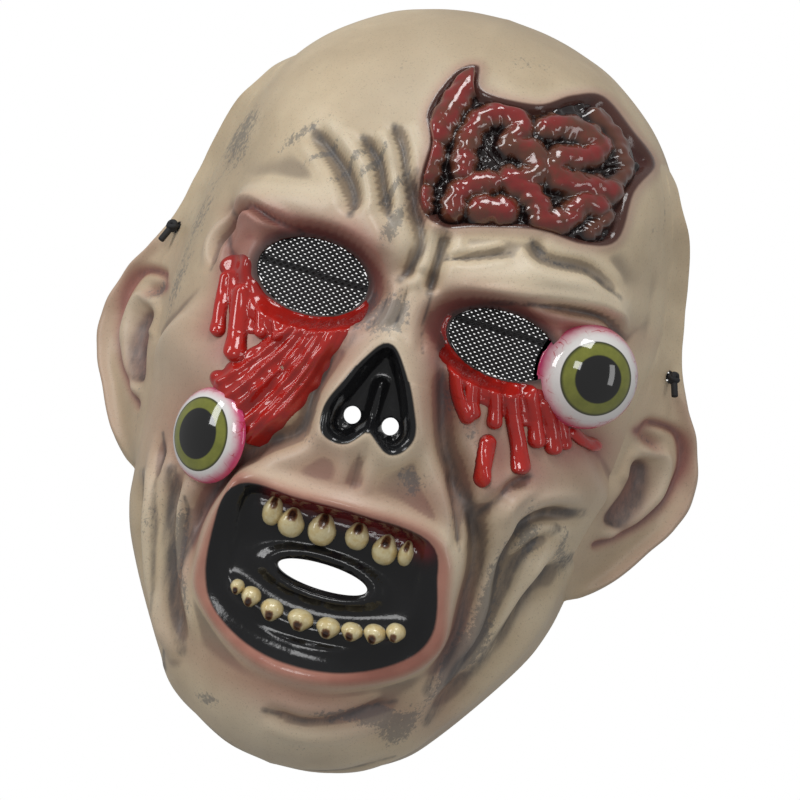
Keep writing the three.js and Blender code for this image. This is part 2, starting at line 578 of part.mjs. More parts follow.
// A rounded strand along points with a normal for each
function strand(path, radius, sides, steps) {
  const curve = new THREE.CatmullRomCurve3(path.map((p) => p.at));
  const normals = new THREE.CatmullRomCurve3(path.map((p) => p.normal));
  const pos = [];
  const idx = [];
  for (let k = 0; k <= steps; k++) {
    const t = k / steps;
    const at = curve.getPoint(t);
    const go = curve.getTangent(t);
    const up = normals.getPoint(t).addScaledVector(go, -normals.getPoint(t).dot(go)).normalize();
    const aside = new THREE.Vector3().crossVectors(go, up);
    const r = radius * Math.sqrt(Math.max(0.16, 1 - Math.pow(Math.abs(2 * t - 1), 6)));
    for (let s = 0; s < sides; s++) {
      const w = (2 * Math.PI * (s + 0.5)) / sides;
      pos.push(...at.clone().addScaledVector(up, r * Math.cos(w)).addScaledVector(aside, r * Math.sin(w)).toArray());
    }
  }
  const ends = [0, 1].map((t) => curve.getPoint(t).addScaledVector(curve.getTangent(t), (t ? 1 : -1) * radius * 0.35));
  const tail = pos.length / 3;
  for (const end of ends) pos.push(...end.toArray());
  for (let k = 0; k < steps; k++) {
    for (let s = 0; s < sides; s++) {
      const a = k * sides + s;
      const b = k * sides + ((s + 1) % sides);
      idx.push(a, b, b + sides, a, b + sides, a + sides);
    }
  }
  for (let s = 0; s < sides; s++) {
    idx.push(tail, (s + 1) % sides, s);
    idx.push(tail + 1, steps * sides + s, steps * sides + ((s + 1) % sides));
  }
  return solid(pos, idx);
}

function raised(row, unit, sunk, sides) {
  const radius = row.size * unit;
  const path = row.at.map(([x, z]) => {
    const { at, normal } = onSkin(x * HALF_W, z * HALF_W);
    return { at: at.addScaledVector(normal, radius * sunk), normal };
  });
  return strand(path, radius, sides, row.at.length);
}

function tooth(row) {
  const g = new THREE.SphereGeometry(1, 6, 4);
  g.scale(row.wide * HALF_W, TOOTH_OUT, row.tall * HALF_W);
  g.translate(row.x * HALF_W, MOUTH_FLOOR, row.z * HALF_W);
  return toManifold(g);
}

function prism(line, y0, y1) {
  const shape = new THREE.Shape(line.slice(0, -1).map(([x, z]) => new THREE.Vector2(x, z)));
  const g = new THREE.ExtrudeGeometry(shape, { depth: y1 - y0, bevelEnabled: false });
  g.rotateX(Math.PI / 2);
  g.translate(0, y1, 0);
  return toManifold(g);
}

function ellipsePrism(rx, rz, x, z, tilt, y0, y1, parts) {
  const shape = new THREE.Shape();
  shape.absellipse(0, 0, rx, rz, 0, 2 * Math.PI, false, (tilt * Math.PI) / 180);
  const g = new THREE.ExtrudeGeometry(shape, { depth: y1 - y0, bevelEnabled: false, curveSegments: parts });
  g.rotateX(Math.PI / 2);
  g.translate(x, y1, z);
  return toManifold(g);
}

function rod(radius, from, to, sides) {
  const length = from.distanceTo(to);
  const g = new THREE.CylinderGeometry(radius, radius, length, sides);
  const turn = new THREE.Quaternion().setFromUnitVectors(new THREE.Vector3(0, 1, 0), to.clone().sub(from).normalize());
  g.applyQuaternion(turn);
  const mid = from.clone().add(to).multiplyScalar(0.5);
  g.translate(mid.x, mid.y, mid.z);
  return toManifold(g);
}

function ballPlace(ball) {
  const { at } = onSkin(ball.x * HALF_W, ball.z * HALF_W);
  const turn = (ball.turn * Math.PI) / 180;
  const lean = (ball.lean * Math.PI) / 180;
  const axis = new THREE.Vector3(Math.sin(turn) * Math.cos(lean), -Math.cos(turn) * Math.cos(lean), Math.sin(lean));
  return { at: at.addScaledVector(axis, ball.out), axis };
}

// A dome on a flat back: spread widens it all round for the seat
function dome(ball, place, spread) {
  const steps = 6;
  const profile = [new THREE.Vector2(0, -spread), new THREE.Vector2(ball.radius + spread, -spread)];
  for (let k = 0; k < steps; k++) {
    const t = (Math.PI / 2) * (k / steps);
    profile.push(new THREE.Vector2((ball.radius + spread) * Math.cos(t), 1 + (ball.high + spread) * Math.sin(t)));
  }
  profile.push(new THREE.Vector2(0, 1 + ball.high + spread));
  const g = new THREE.LatheGeometry(profile, 16);
  g.applyQuaternion(new THREE.Quaternion().setFromUnitVectors(new THREE.Vector3(0, 1, 0), place.axis));
  g.translate(place.at.x, place.at.y, place.at.z);
  return toManifold(g);
}

// The face
let face = faceSheet();
face = face.add(earSheet(-1)).add(earSheet(1));
face = face.add(brain());
const pockets = [prism(nose, -150, NOSE_FLOOR), prism(mouth, -150, MOUTH_FLOOR)];
for (const cut of pockets) face = face.subtract(cut);
for (const row of DRIPS) face = face.add(raised(row, DRIP_R, 0.25, 4));
for (const row of TEETH) face = face.add(tooth(row));

for (const eye of Object.values(EYES)) {
  face = face.subtract(ellipsePrism(EYE_RX, EYE_RZ, eye.x, eye.z, eye.tilt, EYE_PLANE - 40, EYE_PLANE + 25, 10));
}

// Each eyeball sits on a round pad of the face
const balls = {};
const keepOut = [];
for (const [name, ball] of Object.entries(BALLS)) {
  const place = ballPlace(ball);
  const foot = place.at.clone().addScaledVector(place.axis, -GAP);
  const pad = (radius, low) => rod(radius, foot.clone().addScaledVector(place.axis, low), foot, 16);
  const clear = dome(ball, place, GAP);
  face = face.add(pad(ball.radius - 1, -PAD_DEEP)).subtract(clear);
  keepOut.push(clear, pad(ball.radius - 1 + GAP, -PAD_DEEP - GAP));
  balls[name] = dome(ball, place, 0);
}

const floor = onSkin(0.02 * HALF_W, -1.12 * HALF_W).at.y;
face = face.subtract(ellipsePrism(17, 4.6, 0.02 * HALF_W, -1.12 * HALF_W, 0, floor - 20, floor + 25, 8));
for (const x of [-0.045, 0.105]) {
  face = face.subtract(ellipsePrism(NOSTRIL_D / 2, NOSTRIL_D / 2, x * HALF_W, -0.5 * HALF_W, 0, -1.5 * FRONT, -0.65 * FRONT, 4));
}
const holeWay = (side) => new THREE.Vector3(side * SWEEP_BACK, -1, 0).normalize();
const holeAt = (side) => new THREE.Vector3(side * HALF_W, 0, 0);
for (const side of [-1, 1]) {
  const way = holeWay(side);
  face = face.subtract(
    rod(STRAP_HOLE_D / 2, holeAt(side).addScaledVector(way, -8), holeAt(side).addScaledVector(way, 8), 12));
}

// Crumbs that the cuts leave are dropped
const largest = (body) => body.decompose().sort((a, b) => b.volume() - a.volume())[0];
face = largest(face);

// Eye panels, cut round the pad where the right eyeball covers the corner
function panel(eye) {
  let sheet = ellipsePrism(EYE_RX - GAP, EYE_RZ - GAP, eye.x, eye.z, eye.tilt, EYE_PLANE + 0.9, EYE_PLANE + 2.1, 10);
  for (const solidToClear of keepOut) sheet = sheet.subtract(solidToClear);
  return largest(sheet);
}

// Elastic cord round the back of the head, knotted outside each web
function strapCord() {
  const start = holeAt(-1).addScaledVector(holeWay(-1), SHEET / 2 + 0.1);
  const end = holeAt(1).addScaledVector(holeWay(1), SHEET / 2 + 0.1);
  const route = [
    start,
    holeAt(-1).addScaledVector(holeWay(-1), -2.2),
    new THREE.Vector3(-0.978 * HALF_W, 0.055 * STRAP_BACK, 0),
    new THREE.Vector3(-0.95 * HALF_W, 0.14 * STRAP_BACK, 0),
    new THREE.Vector3(-0.91 * HALF_W, 0.3 * STRAP_BACK, 0),
    new THREE.Vector3(-0.85 * HALF_W, 0.56 * STRAP_BACK, 0),
    new THREE.Vector3(-0.7 * HALF_W, 0.82 * STRAP_BACK, 0),
    new THREE.Vector3(-0.4 * HALF_W, 0.965 * STRAP_BACK, 0),
    new THREE.Vector3(0, STRAP_BACK, 0),
    new THREE.Vector3(0.4 * HALF_W, 0.965 * STRAP_BACK, 0),
    new THREE.Vector3(0.7 * HALF_W, 0.82 * STRAP_BACK, 0),
    new THREE.Vector3(0.85 * HALF_W, 0.56 * STRAP_BACK, 0),
    new THREE.Vector3(0.91 * HALF_W, 0.3 * STRAP_BACK, 0),
    new THREE.Vector3(0.95 * HALF_W, 0.14 * STRAP_BACK, 0),
    new THREE.Vector3(0.978 * HALF_W, 0.055 * STRAP_BACK, 0),
    holeAt(1).addScaledVector(holeWay(1), -2.2),
    end,
  ];
  const shape = new THREE.Shape();
  shape.absarc(0, 0, CORD_D / 2, 0, 2 * Math.PI, false);
  return new THREE.ExtrudeGeometry(shape, {
    steps: 46,
    bevelEnabled: false,
    curveSegments: 4,
    extrudePath: new THREE.CatmullRomCurve3(route, false, "centripetal"),
  });
}

function knot(side) {
  const way = holeWay(side);
  const at = holeAt(side).addScaledVector(way, SHEET / 2 + 2 * GAP + KNOT_R);
  const ball = new THREE.SphereGeometry(KNOT_R, 10, 7);
  ball.scale(1.15, 1, 0.95);
  ball.translate(at.x, at.y, at.z);
  const tail = at.clone().add(new THREE.Vector3(side * 0.37 * KNOT_TAIL, -0.34 * KNOT_TAIL, -KNOT_TAIL));
  return toManifold(ball).add(rod(CORD_D / 2, at.clone(), tail, 8));
}

// Assembly
const finishes = {
  face_shell: { color: 0xc9b493, roughness: 0.55 },
  eye_mesh_left: { color: 0x17181a, roughness: 0.8 },
  eye_mesh_right: { color: 0x17181a, roughness: 0.8 },
  eyeball_left: { color: 0xf2eded, roughness: 0.15 },
  eyeball_right: { color: 0xf2eded, roughness: 0.15 },
  strap_cord: { color: 0x101012, roughness: 0.8 },
  strap_knot_left: { color: 0x101012, roughness: 0.8 },
  strap_knot_right: { color: 0x101012, roughness: 0.8 },
};

const group = new THREE.Group();
group.name = "monster_mask";
function place(name, geometry) {
  const mesh = new THREE.Mesh(geometry, new THREE.MeshStandardMaterial(finishes[name]));
  mesh.name = name;
  group.add(mesh);
}
place("face_shell", toGeometry(face));
place("eye_mesh_left", toGeometry(panel(EYES.left)));
place("eye_mesh_right", toGeometry(panel(EYES.right)));
place("eyeball_left", toGeometry(balls.left));
place("eyeball_right", toGeometry(balls.right));
place("strap_cord", toGeometry(toManifold(strapCord())));
place("strap_knot_left", toGeometry(knot(-1)));
place("strap_knot_right", toGeometry(knot(1)));

export default group;
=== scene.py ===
import math

import bpy
import numpy as np
from mathutils import Matrix, Vector


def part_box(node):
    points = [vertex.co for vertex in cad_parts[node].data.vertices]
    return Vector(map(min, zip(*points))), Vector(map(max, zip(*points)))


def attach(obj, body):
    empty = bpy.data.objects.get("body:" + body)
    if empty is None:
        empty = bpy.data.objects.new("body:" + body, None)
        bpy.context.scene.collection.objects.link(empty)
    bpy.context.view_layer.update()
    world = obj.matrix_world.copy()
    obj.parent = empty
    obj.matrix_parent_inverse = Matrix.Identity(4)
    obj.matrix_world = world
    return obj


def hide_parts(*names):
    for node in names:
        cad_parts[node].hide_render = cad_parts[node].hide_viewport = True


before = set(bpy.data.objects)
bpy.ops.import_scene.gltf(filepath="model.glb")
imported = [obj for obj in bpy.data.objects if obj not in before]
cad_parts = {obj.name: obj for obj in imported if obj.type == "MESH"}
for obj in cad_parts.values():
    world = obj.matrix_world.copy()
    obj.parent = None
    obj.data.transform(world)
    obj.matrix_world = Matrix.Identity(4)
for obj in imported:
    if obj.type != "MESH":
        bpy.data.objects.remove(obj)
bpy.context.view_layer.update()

bl_info = {
    "name": "Monster Mask",
    "version": (1, 0, 0),
    "blender": (4, 5, 0),
    "location": "View3D > Sidebar > Mask",
    "description": "Moulded and painted zombie mask with mesh eyes and an elastic cord",
    "category": "Object",
}

# Sizes in metres. The head's height in the frame is HEAD_TALL half widths, and gives the unit of every share.
shell_low, shell_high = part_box("face_shell")
HEAD_TALL = 3.048
HALF_W = (shell_high[2] - shell_low[2]) / HEAD_TALL
MM = HALF_W / 95
CENTRE_Z = -0.32 * HALF_W
FRONT = 92 * MM
FOLD_DEPTH = 4 * MM
FOLD_WIDTH = 6 * MM
EYE_PLANE = -77 * MM
EYE_RX = 20.5 * MM
EYE_RZ = 13.5 * MM
MOUTH_FLOOR = -85.7 * MM
NOSE_FLOOR = -93.6 * MM
LOBE_R = 4.4 * MM
BRAIN_DROP = 1.5 * MM
BRAIN_SUNK = 3 * MM
DRIP_R = 2.9 * MM
GORE_SUNK = 1.6 * MM
GORE_WALL = 1.2 * MM
STRAP_BACK = 113 * MM
STRAP_HOLE_R = 2.1 * MM
SHEET = 2 * MM
NOSTRIL_R = 3.2 * MM
NET_PITCH = 2 * MM
NET_CELLS = (30, 24)
KNOT_R = 2.6 * MM

# A painted distance, in millimetres, that every material takes as far away
FAR_OFF = 9.0

# Half width of the moulded head at each height, shares of HALF_W
OUTLINE = (
    (1.163, 0.0), (1.15, 0.16), (1.115, 0.31), (1.05, 0.47), (0.9, 0.67), (0.71, 0.81), (0.5, 0.89),
    (0.3, 0.93), (0.1, 0.955), (-0.2, 0.965), (-0.5, 0.94), (-0.9, 0.885), (-1.1, 0.85), (-1.28, 0.775),
    (-1.6, 0.57), (-1.75, 0.43), (-1.86, 0.2), (-1.885, 0.0),
)

# Rim by direction round the face: degrees, millimetres behind the strap line, how square the section is
RIM = ((-90, -14, 2.5), (-50, -6, 2.35), (0, 1, 2.15), (45, 12, 2.4), (90, 24, 2.9))

# Folds: lift in shares of FOLD_DEPTH, spread in shares of FOLD_WIDTH, then the points
FOLDS = {
    "left brow": (1.9, 1.6, (
        (-0.73, 0.08), (-0.62, 0.17), (-0.47, 0.2), (-0.33, 0.19), (-0.18, 0.15), (-0.04, 0.08),
    )),
    "right brow": (1.9, 1.6, (
        (0.13, 0.04), (0.24, 0.1), (0.39, 0.15), (0.53, 0.19), (0.7, 0.18), (0.85, 0.09),
    )),
    "left furrow": (-0.9, 0.65, (
        (-0.09, 0.45), (-0.06, 0.33), (-0.01, 0.26), (0.02, 0.19), (0.01, 0.11), (-0.02, 0.04),
    )),
    "right furrow": (-0.9, 0.6, ((0.08, 0.27), (0.09, 0.18), (0.09, 0.1), (0.1, 0.02))),
    "outer wrinkle": (-0.7, 0.7, (
        (-0.54, 0.5), (-0.44, 0.44), (-0.34, 0.36), (-0.28, 0.28), (-0.26, 0.21),
    )),
    "middle wrinkle": (-0.7, 0.6, ((-0.33, 0.52), (-0.24, 0.45), (-0.19, 0.36), (-0.13, 0.26))),
    "inner wrinkle": (-0.6, 0.6, ((-0.23, 0.6), (-0.17, 0.52), (-0.13, 0.43), (-0.08, 0.34))),
    "right brow crease": (-0.6, 0.6, ((0.4, 0.33), (0.47, 0.27), (0.62, 0.28), (0.74, 0.22))),
    "left cheekbone": (1.5, 2.4, ((-0.86, -0.34), (-0.72, -0.42), (-0.52, -0.5), (-0.36, -0.56))),
    "right cheekbone": (1.6, 2.4, ((0.88, -0.4), (0.74, -0.52), (0.56, -0.6), (0.4, -0.62))),
    "left nose fold": (-1.1, 0.9, (
        (-0.13, -0.22), (-0.2, -0.42), (-0.21, -0.6), (-0.33, -0.7), (-0.45, -0.86), (-0.52, -1.05),
        (-0.5, -1.25),
    )),
    "right nose fold": (-1.3, 0.9, (
        (0.19, -0.12), (0.25, -0.32), (0.33, -0.52), (0.46, -0.7), (0.55, -0.86), (0.56, -1.03),
        (0.54, -1.22), (0.48, -1.4),
    )),
    "right cheek ridge": (1.0, 0.7, (
        (0.6, -0.55), (0.56, -0.7), (0.6, -0.95), (0.61, -1.12), (0.55, -1.32),
    )),
    "upper cheek fold": (-1.2, 0.8, (
        (0.84, -0.6), (0.72, -0.66), (0.66, -0.78), (0.66, -0.95), (0.63, -1.13), (0.55, -1.36),
    )),
    "lower cheek fold": (-1.1, 0.8, (
        (0.87, -0.78), (0.79, -0.95), (0.72, -1.14), (0.63, -1.32), (0.5, -1.52),
    )),
    "left outer fold": (-0.9, 0.8, ((-0.8, -0.95), (-0.74, -1.17), (-0.62, -1.4), (-0.48, -1.62))),
    "left inner fold": (-0.9, 0.8, ((-0.68, -0.9), (-0.63, -1.1), (-0.53, -1.32), (-0.4, -1.52))),
    "left temple fold": (-0.3, 0.8, ((-0.74, 0.12), (-0.72, 0.0), (-0.66, -0.1), (-0.66, -0.24))),
    "left jaw ridge": (0.9, 0.9, ((-0.74, -0.85), (-0.68, -1.1), (-0.57, -1.35), (-0.42, -1.58))),
}

# Finer folds that the paint follows
CREASES = {
    "left lid": (-0.9, 0.36, (
        (-0.76, -0.126), (-0.767, -0.01), (-0.722, 0.08), (-0.644, 0.142), (-0.55, 0.12), (-0.43, 0.105),
    )),
    "left lid ridge": (0.45, 0.55, ((-0.69, -0.06), (-0.675, 0.02), (-0.63, 0.07), (-0.55, 0.07))),
    "right lid crease": (-0.8, 0.4, (
        (0.19, -0.02), (0.33, 0.06), (0.52, 0.105), (0.7, 0.13), (0.84, 0.08),
    )),
    "left brow tip": (0.6, 0.5, ((-0.24, 0.27), (-0.16, 0.2), (-0.09, 0.1))),
    "brow knot": (0.8, 0.9, ((0.02, 0.3), (0.04, 0.18), (0.05, 0.08))),
    "right brow line": (-0.5, 0.35, ((0.12, 0.16), (0.22, 0.2), (0.34, 0.26))),
    "right lid": (0.5, 0.5, ((0.22, 0.02), (0.34, 0.08), (0.48, 0.1), (0.62, 0.07))),
    "wrinkle ridge": (0.5, 0.5, ((-0.43, 0.52), (-0.33, 0.44), (-0.25, 0.35), (-0.2, 0.26))),
    "second ridge": (0.5, 0.5, ((-0.27, 0.57), (-0.18, 0.46), (-0.13, 0.36), (-0.08, 0.26))),
    "nose bridge left": (-0.5, 0.35, ((-0.06, 0.02), (-0.05, -0.08), (-0.08, -0.18))),
    "nose bridge right": (-0.5, 0.35, ((0.11, 0.0), (0.11, -0.1), (0.14, -0.2))),
    "nose bridge middle": (-0.4, 0.3, ((0.01, 0.02), (0.02, -0.06), (0.01, -0.14))),
    "upper lip dent": (-0.4, 0.5, ((0.03, -0.62), (0.04, -0.7), (0.04, -0.76))),
    "cheek line": (-0.5, 0.4, ((0.36, -0.6), (0.42, -0.74), (0.46, -0.86))),
    "middle cheek fold": (-0.8, 0.5, (
        (0.78, -0.68), (0.72, -0.82), (0.7, -0.98), (0.65, -1.16), (0.57, -1.34),
    )),
    "cheek crease": (-0.6, 0.45, ((0.62, -0.52), (0.53, -0.62), (0.5, -0.74))),
    "left cheek line": (-0.5, 0.4, ((-0.76, -0.78), (-0.72, -0.98), (-0.64, -1.2), (-0.54, -1.42))),
    "left cheek thread": (-0.4, 0.35, ((-0.58, -0.98), (-0.55, -1.14), (-0.48, -1.32))),
    "chin crease": (-0.55, 0.5, ((-0.04, -1.57), (0.1, -1.575), (0.24, -1.53), (0.38, -1.46))),
    "under chin": (-0.25, 0.4, ((-0.4, -1.72), (-0.12, -1.8), (0.16, -1.79), (0.42, -1.66))),
    "slot ledge": (0.7, 0.5, ((-0.2, -1.2), (0.02, -1.22), (0.26, -1.2))),
}

# Swellings: centre x and z, radii, lift in shares of FOLD_DEPTH
SWELLS = {
    "chin": (0.03, -1.62, 0.36, 0.2, 3.6),
    "muzzle": (0.04, -1.12, 0.58, 0.5, 2.6),
    "nose": (0.02, -0.42, 0.22, 0.34, 2.6),
    "under left cheek": (-0.62, -1.0, 0.16, 0.24, -1.2),
    "under right cheek": (0.66, -0.95, 0.14, 0.24, -1.2),
    "left temple": (-0.8, 0.3, 0.14, 0.24, -0.7),
    "right temple": (0.86, 0.26, 0.14, 0.24, -0.7),
}

# Closed outlines of the lips, mouth and nose pocket, then lines along the gums and the nose's septum
LIPS = (
    (-0.38, -0.8), (-0.14, -0.79), (0.1, -0.78), (0.34, -0.79), (0.45, -0.88), (0.48, -1.04), (0.49, -1.22),
    (0.38, -1.38), (0.16, -1.46), (-0.09, -1.47), (-0.3, -1.4), (-0.42, -1.28), (-0.44, -1.12),
    (-0.42, -0.93),
)
MOUTH = (
    (-0.33, -0.88), (-0.14, -0.87), (0.1, -0.86), (0.33, -0.88), (0.38, -1.0), (0.4, -1.18),
    (0.32, -1.3), (0.14, -1.37), (-0.08, -1.38), (-0.26, -1.32), (-0.34, -1.22), (-0.36, -1.02),
)
NOSE = (
    (0.02, -0.22), (0.09, -0.3), (0.15, -0.42), (0.18, -0.52), (0.13, -0.58), (0.04, -0.52),
    (-0.03, -0.59), (-0.1, -0.58), (-0.12, -0.5), (-0.08, -0.4), (-0.04, -0.3),
)
GUM_PAINT = ((-0.22, -0.865), (-0.05, -0.855), (0.14, -0.865), (0.34, -0.895))
UPPER_GUM = ((-0.28, -0.93), (-0.05, -0.92), (0.12, -0.92), (0.32, -0.95))
LOWER_GUM = ((-0.3, -1.26), (-0.12, -1.32), (0.1, -1.32), (0.35, -1.25))
SEPTUM = ((0.03, -0.36), (0.03, -0.46), (0.035, -0.55))

# Outline of the open wound
WOUND = (
    (-0.08, 0.88), (0.0, 0.93), (0.05, 0.84), (0.25, 0.85), (0.36, 0.93), (0.47, 0.97), (0.62, 0.87),
    (0.73, 0.78), (0.7, 0.64), (0.7, 0.44), (0.58, 0.38), (0.42, 0.38), (0.22, 0.33), (0.05, 0.28),
    (-0.06, 0.38), (-0.08, 0.58), (-0.13, 0.7),
)

# Lobes of the brain: size in shares of LOBE_R, then the points
LOBES = {
    "finger": (1.15, ((0.0, 0.92), (-0.025, 0.84), (-0.045, 0.74), (-0.06, 0.65))),
    "upper bead": (1.05, ((-0.055, 0.565), (-0.05, 0.485))),
    "lower bead": (0.95, ((-0.04, 0.4), (-0.03, 0.355))),
    "arch": (1.0, (
        (0.08, 0.53), (0.06, 0.64), (0.08, 0.74), (0.15, 0.79), (0.23, 0.77), (0.22, 0.69), (0.31, 0.68),
    )),
    "bend": (1.0, (
        (0.31, 0.68), (0.35, 0.62), (0.31, 0.57), (0.25, 0.55), (0.33, 0.53), (0.39, 0.49), (0.43, 0.44),
        (0.51, 0.47), (0.54, 0.54), (0.6, 0.56),
    )),
    "right bend": (1.0, (
        (0.32, 0.79), (0.4, 0.82), (0.49, 0.81), (0.54, 0.77), (0.49, 0.72), (0.42, 0.7), (0.4, 0.64),
        (0.46, 0.61), (0.55, 0.62), (0.63, 0.63),
    )),
    "strand": (0.7, ((0.48, 0.91), (0.57, 0.86), (0.62, 0.8), (0.66, 0.73), (0.64, 0.67))),
    "lower arch": (1.0, ((0.2, 0.52), (0.15, 0.5), (0.09, 0.44), (0.09, 0.37))),
    "oval": (1.1, ((0.19, 0.41), (0.28, 0.43))),
    "tail": (0.7, ((0.61, 0.45), (0.65, 0.53))),
}

# Gore that runs from under each eye: size in shares of DRIP_R, then the finished places
DRIPS = {
    "left": {
        "corner": (0.8, ((-0.68, -0.14), (-0.665, -0.25), (-0.645, -0.34))),
        "second": (1.15, ((-0.6, -0.18), (-0.57, -0.3), (-0.548, -0.4))),
        "third": (0.75, ((-0.5, -0.22), (-0.485, -0.27), (-0.475, -0.3))),
        "fourth": (0.75, ((-0.43, -0.24), (-0.415, -0.27), (-0.405, -0.29))),
        "edge": (0.6, ((-0.66, -0.12), (-0.63, -0.2), (-0.6, -0.26))),
    },
    "right": {
        "corner": (0.7, ((0.235, -0.1), (0.25, -0.16), (0.27, -0.22))),
        "inner": (0.85, ((0.27, -0.2), (0.3, -0.29), (0.335, -0.345), (0.37, -0.38))),
        "bead": (0.85, ((0.35, -0.22), (0.365, -0.3), (0.385, -0.36))),
        "second": (0.8, ((0.42, -0.22), (0.45, -0.29), (0.47, -0.37))),
        "drop": (1.0, ((0.47, -0.45), (0.48, -0.52), (0.49, -0.585))),
        "long": (0.95, ((0.49, -0.22), (0.53, -0.33), (0.575, -0.42), (0.61, -0.5))),
        "fourth": (0.85, ((0.56, -0.22), (0.6, -0.3), (0.635, -0.39))),
        "fifth": (0.85, ((0.63, -0.25), (0.67, -0.32), (0.7, -0.395))),
        "sixth": (0.7, ((0.69, -0.28), (0.715, -0.32), (0.735, -0.37))),
        "under the ball": (0.75, ((0.75, -0.315), (0.79, -0.335), (0.83, -0.34))),
    },
}

# Nerves between the left eye hole and its ball, laid side by side, each on its own film
NERVES = (
    ((-0.36, -0.24), (-0.43, -0.36), (-0.5, -0.45), (-0.57, -0.53)),
    ((-0.31, -0.22), (-0.38, -0.36), (-0.45, -0.48), (-0.52, -0.58)),
    ((-0.27, -0.2), (-0.33, -0.36), (-0.41, -0.51), (-0.48, -0.63)),
    ((-0.235, -0.18), (-0.28, -0.35), (-0.36, -0.53), (-0.44, -0.67)),
    ((-0.205, -0.16), (-0.24, -0.34), (-0.32, -0.54), (-0.42, -0.71)),
    ((-0.18, -0.15), (-0.215, -0.32), (-0.28, -0.52), (-0.4, -0.74)),
)

# Wet films along the lower edge of each eye hole, and under them
FILMS = {
    "left": ((-0.66, -0.1), (-0.61, -0.17), (-0.52, -0.22), (-0.4, -0.24), (-0.26, -0.2), (-0.16, -0.12)),
    "right": ((0.22, -0.08), (0.27, -0.17), (0.38, -0.235), (0.52, -0.25), (0.66, -0.28)),
}
UNDER_FILMS = {
    "left": ((-0.62, -0.2), (-0.55, -0.27), (-0.45, -0.27), (-0.36, -0.25)),
    "right": ((0.3, -0.22), (0.42, -0.28), (0.55, -0.31), (0.66, -0.32)),
}

# Teeth: centre x and z, half width and half height, all shares of HALF_W
TEETH = {
    "upper": (
        (-0.23, -0.93, 0.038, 0.058), (-0.15, -0.955, 0.05, 0.056), (-0.03, -0.945, 0.053, 0.062),
        (0.105, -0.93, 0.045, 0.053), (0.22, -0.95, 0.048, 0.057), (0.3, -0.94, 0.029, 0.048),
    ),
    "lower": (
        (-0.275, -1.25, 0.026, 0.029), (-0.215, -1.27, 0.037, 0.038), (-0.125, -1.295, 0.043, 0.041),
        (-0.01, -1.3, 0.049, 0.041), (0.1, -1.298, 0.045, 0.04), (0.19, -1.285, 0.041, 0.035),
        (0.275, -1.268, 0.042, 0.037), (0.35, -1.24, 0.037, 0.036),
    ),
}

# Web and ear: height and outer edge, shares of HALF_W
EAR = (
    (0.86, 0.705), (0.74, 0.808), (0.62, 0.885), (0.5, 0.945), (0.3, 0.99), (0.15, 1.02), (0.02, 1.055),
    (-0.09, 1.1), (-0.2, 1.165), (-0.33, 1.21), (-0.45, 1.22), (-0.57, 1.185), (-0.68, 1.12), (-0.78, 1.06),
    (-0.86, 1.0), (-0.92, 0.94), (-0.96, 0.88),
)

# Folds of the right ear as seen from the front, laid down as in FOLDS; the left ear mirrors them
EAR_FOLDS = {
    "groove": (-0.6, 0.3, (
        (0.96, -0.24), (1.0, -0.195), (1.08, -0.19), (1.125, -0.225), (1.153, -0.305), (1.15, -0.41),
        (1.115, -0.52), (1.03, -0.63), (0.94, -0.71),
    )),
    "concha": (-1.2, 0.62, ((1.02, -0.38), (1.025, -0.43), (1.02, -0.51), (0.98, -0.59))),
    "fossa": (-0.7, 0.45, ((0.99, -0.25), (1.03, -0.27))),
    "inner fold": (0.75, 0.45, (
        (1.0, -0.31), (1.07, -0.3), (1.095, -0.37), (1.085, -0.47), (1.04, -0.57), (0.97, -0.66),
    )),
    "tragus": (0.5, 0.35, ((0.965, -0.34), (0.96, -0.42))),
}

# Breathing slot and nostrils, then the half of the cord's way round that each side mirrors
SLOT_X = 0.02 * HALF_W
SLOT_Z = -1.12 * HALF_W
NOSTRILS = (-0.045, 0.105)
NOSTRIL_Z = -0.5
STRAP_HALF = ((0.978, 0.055), (0.95, 0.14), (0.91, 0.3), (0.85, 0.56), (0.7, 0.82), (0.4, 0.965))

# Eye holes: centre x and z, tilt in degrees, height share
EYES = {"left": (-0.36, -0.04, 2, 1.0), "right": (0.41, -0.08, -4, 0.87)}

# Eyeballs: place, size, which way they look, and the iris and pupil as angles from their middle, in degrees
BALLS = {
    "left": {
        "x": -0.53, "z": -0.73, "radius": 17.6 * MM, "high": 8 * MM, "turn": -38, "lean": -6, "out": 0.0,
        "iris": 50, "pupil": 32,
    },
    "right": {
        "x": 0.73, "z": -0.1, "radius": 19.3 * MM, "high": 17 * MM, "turn": 22, "lean": 0, "out": 1 * MM,
        "iris": 44, "pupil": 27,
    },
}


# Small maths on arrays

def smooth(t):
    c = np.clip(t, 0, 1)
    return c * c * (3 - 2 * c)


def bell(t):
    return np.exp(-t * t)


def curve_through(points, closed=False, per=6):
    """A smooth line through points given as shares of HALF_W, in metres."""
    p = np.asarray(points, float) * HALF_W
    n = len(p)
    spans = n if closed else n - 1
    line = []
    for i in range(spans):
        if closed:
            a, b, c, d = p[(i - 1) % n], p[i], p[(i + 1) % n], p[(i + 2) % n]
        else:
            b, c = p[i], p[i + 1]
            a = p[i - 1] if i else 2 * b - c
            d = p[i + 2] if i + 2 < n else 2 * c - b
        t = np.linspace(0, 1, per, endpoint=False)[:, None]
        bend = (2 * a - 5 * b + 4 * c - d) * t**2
        line.append(0.5 * (2 * b + (c - a) * t + bend + (3 * b - a - 3 * c + d) * t**3))
    line.append(p[:1] if closed else p[-1:])
    return np.vstack(line)


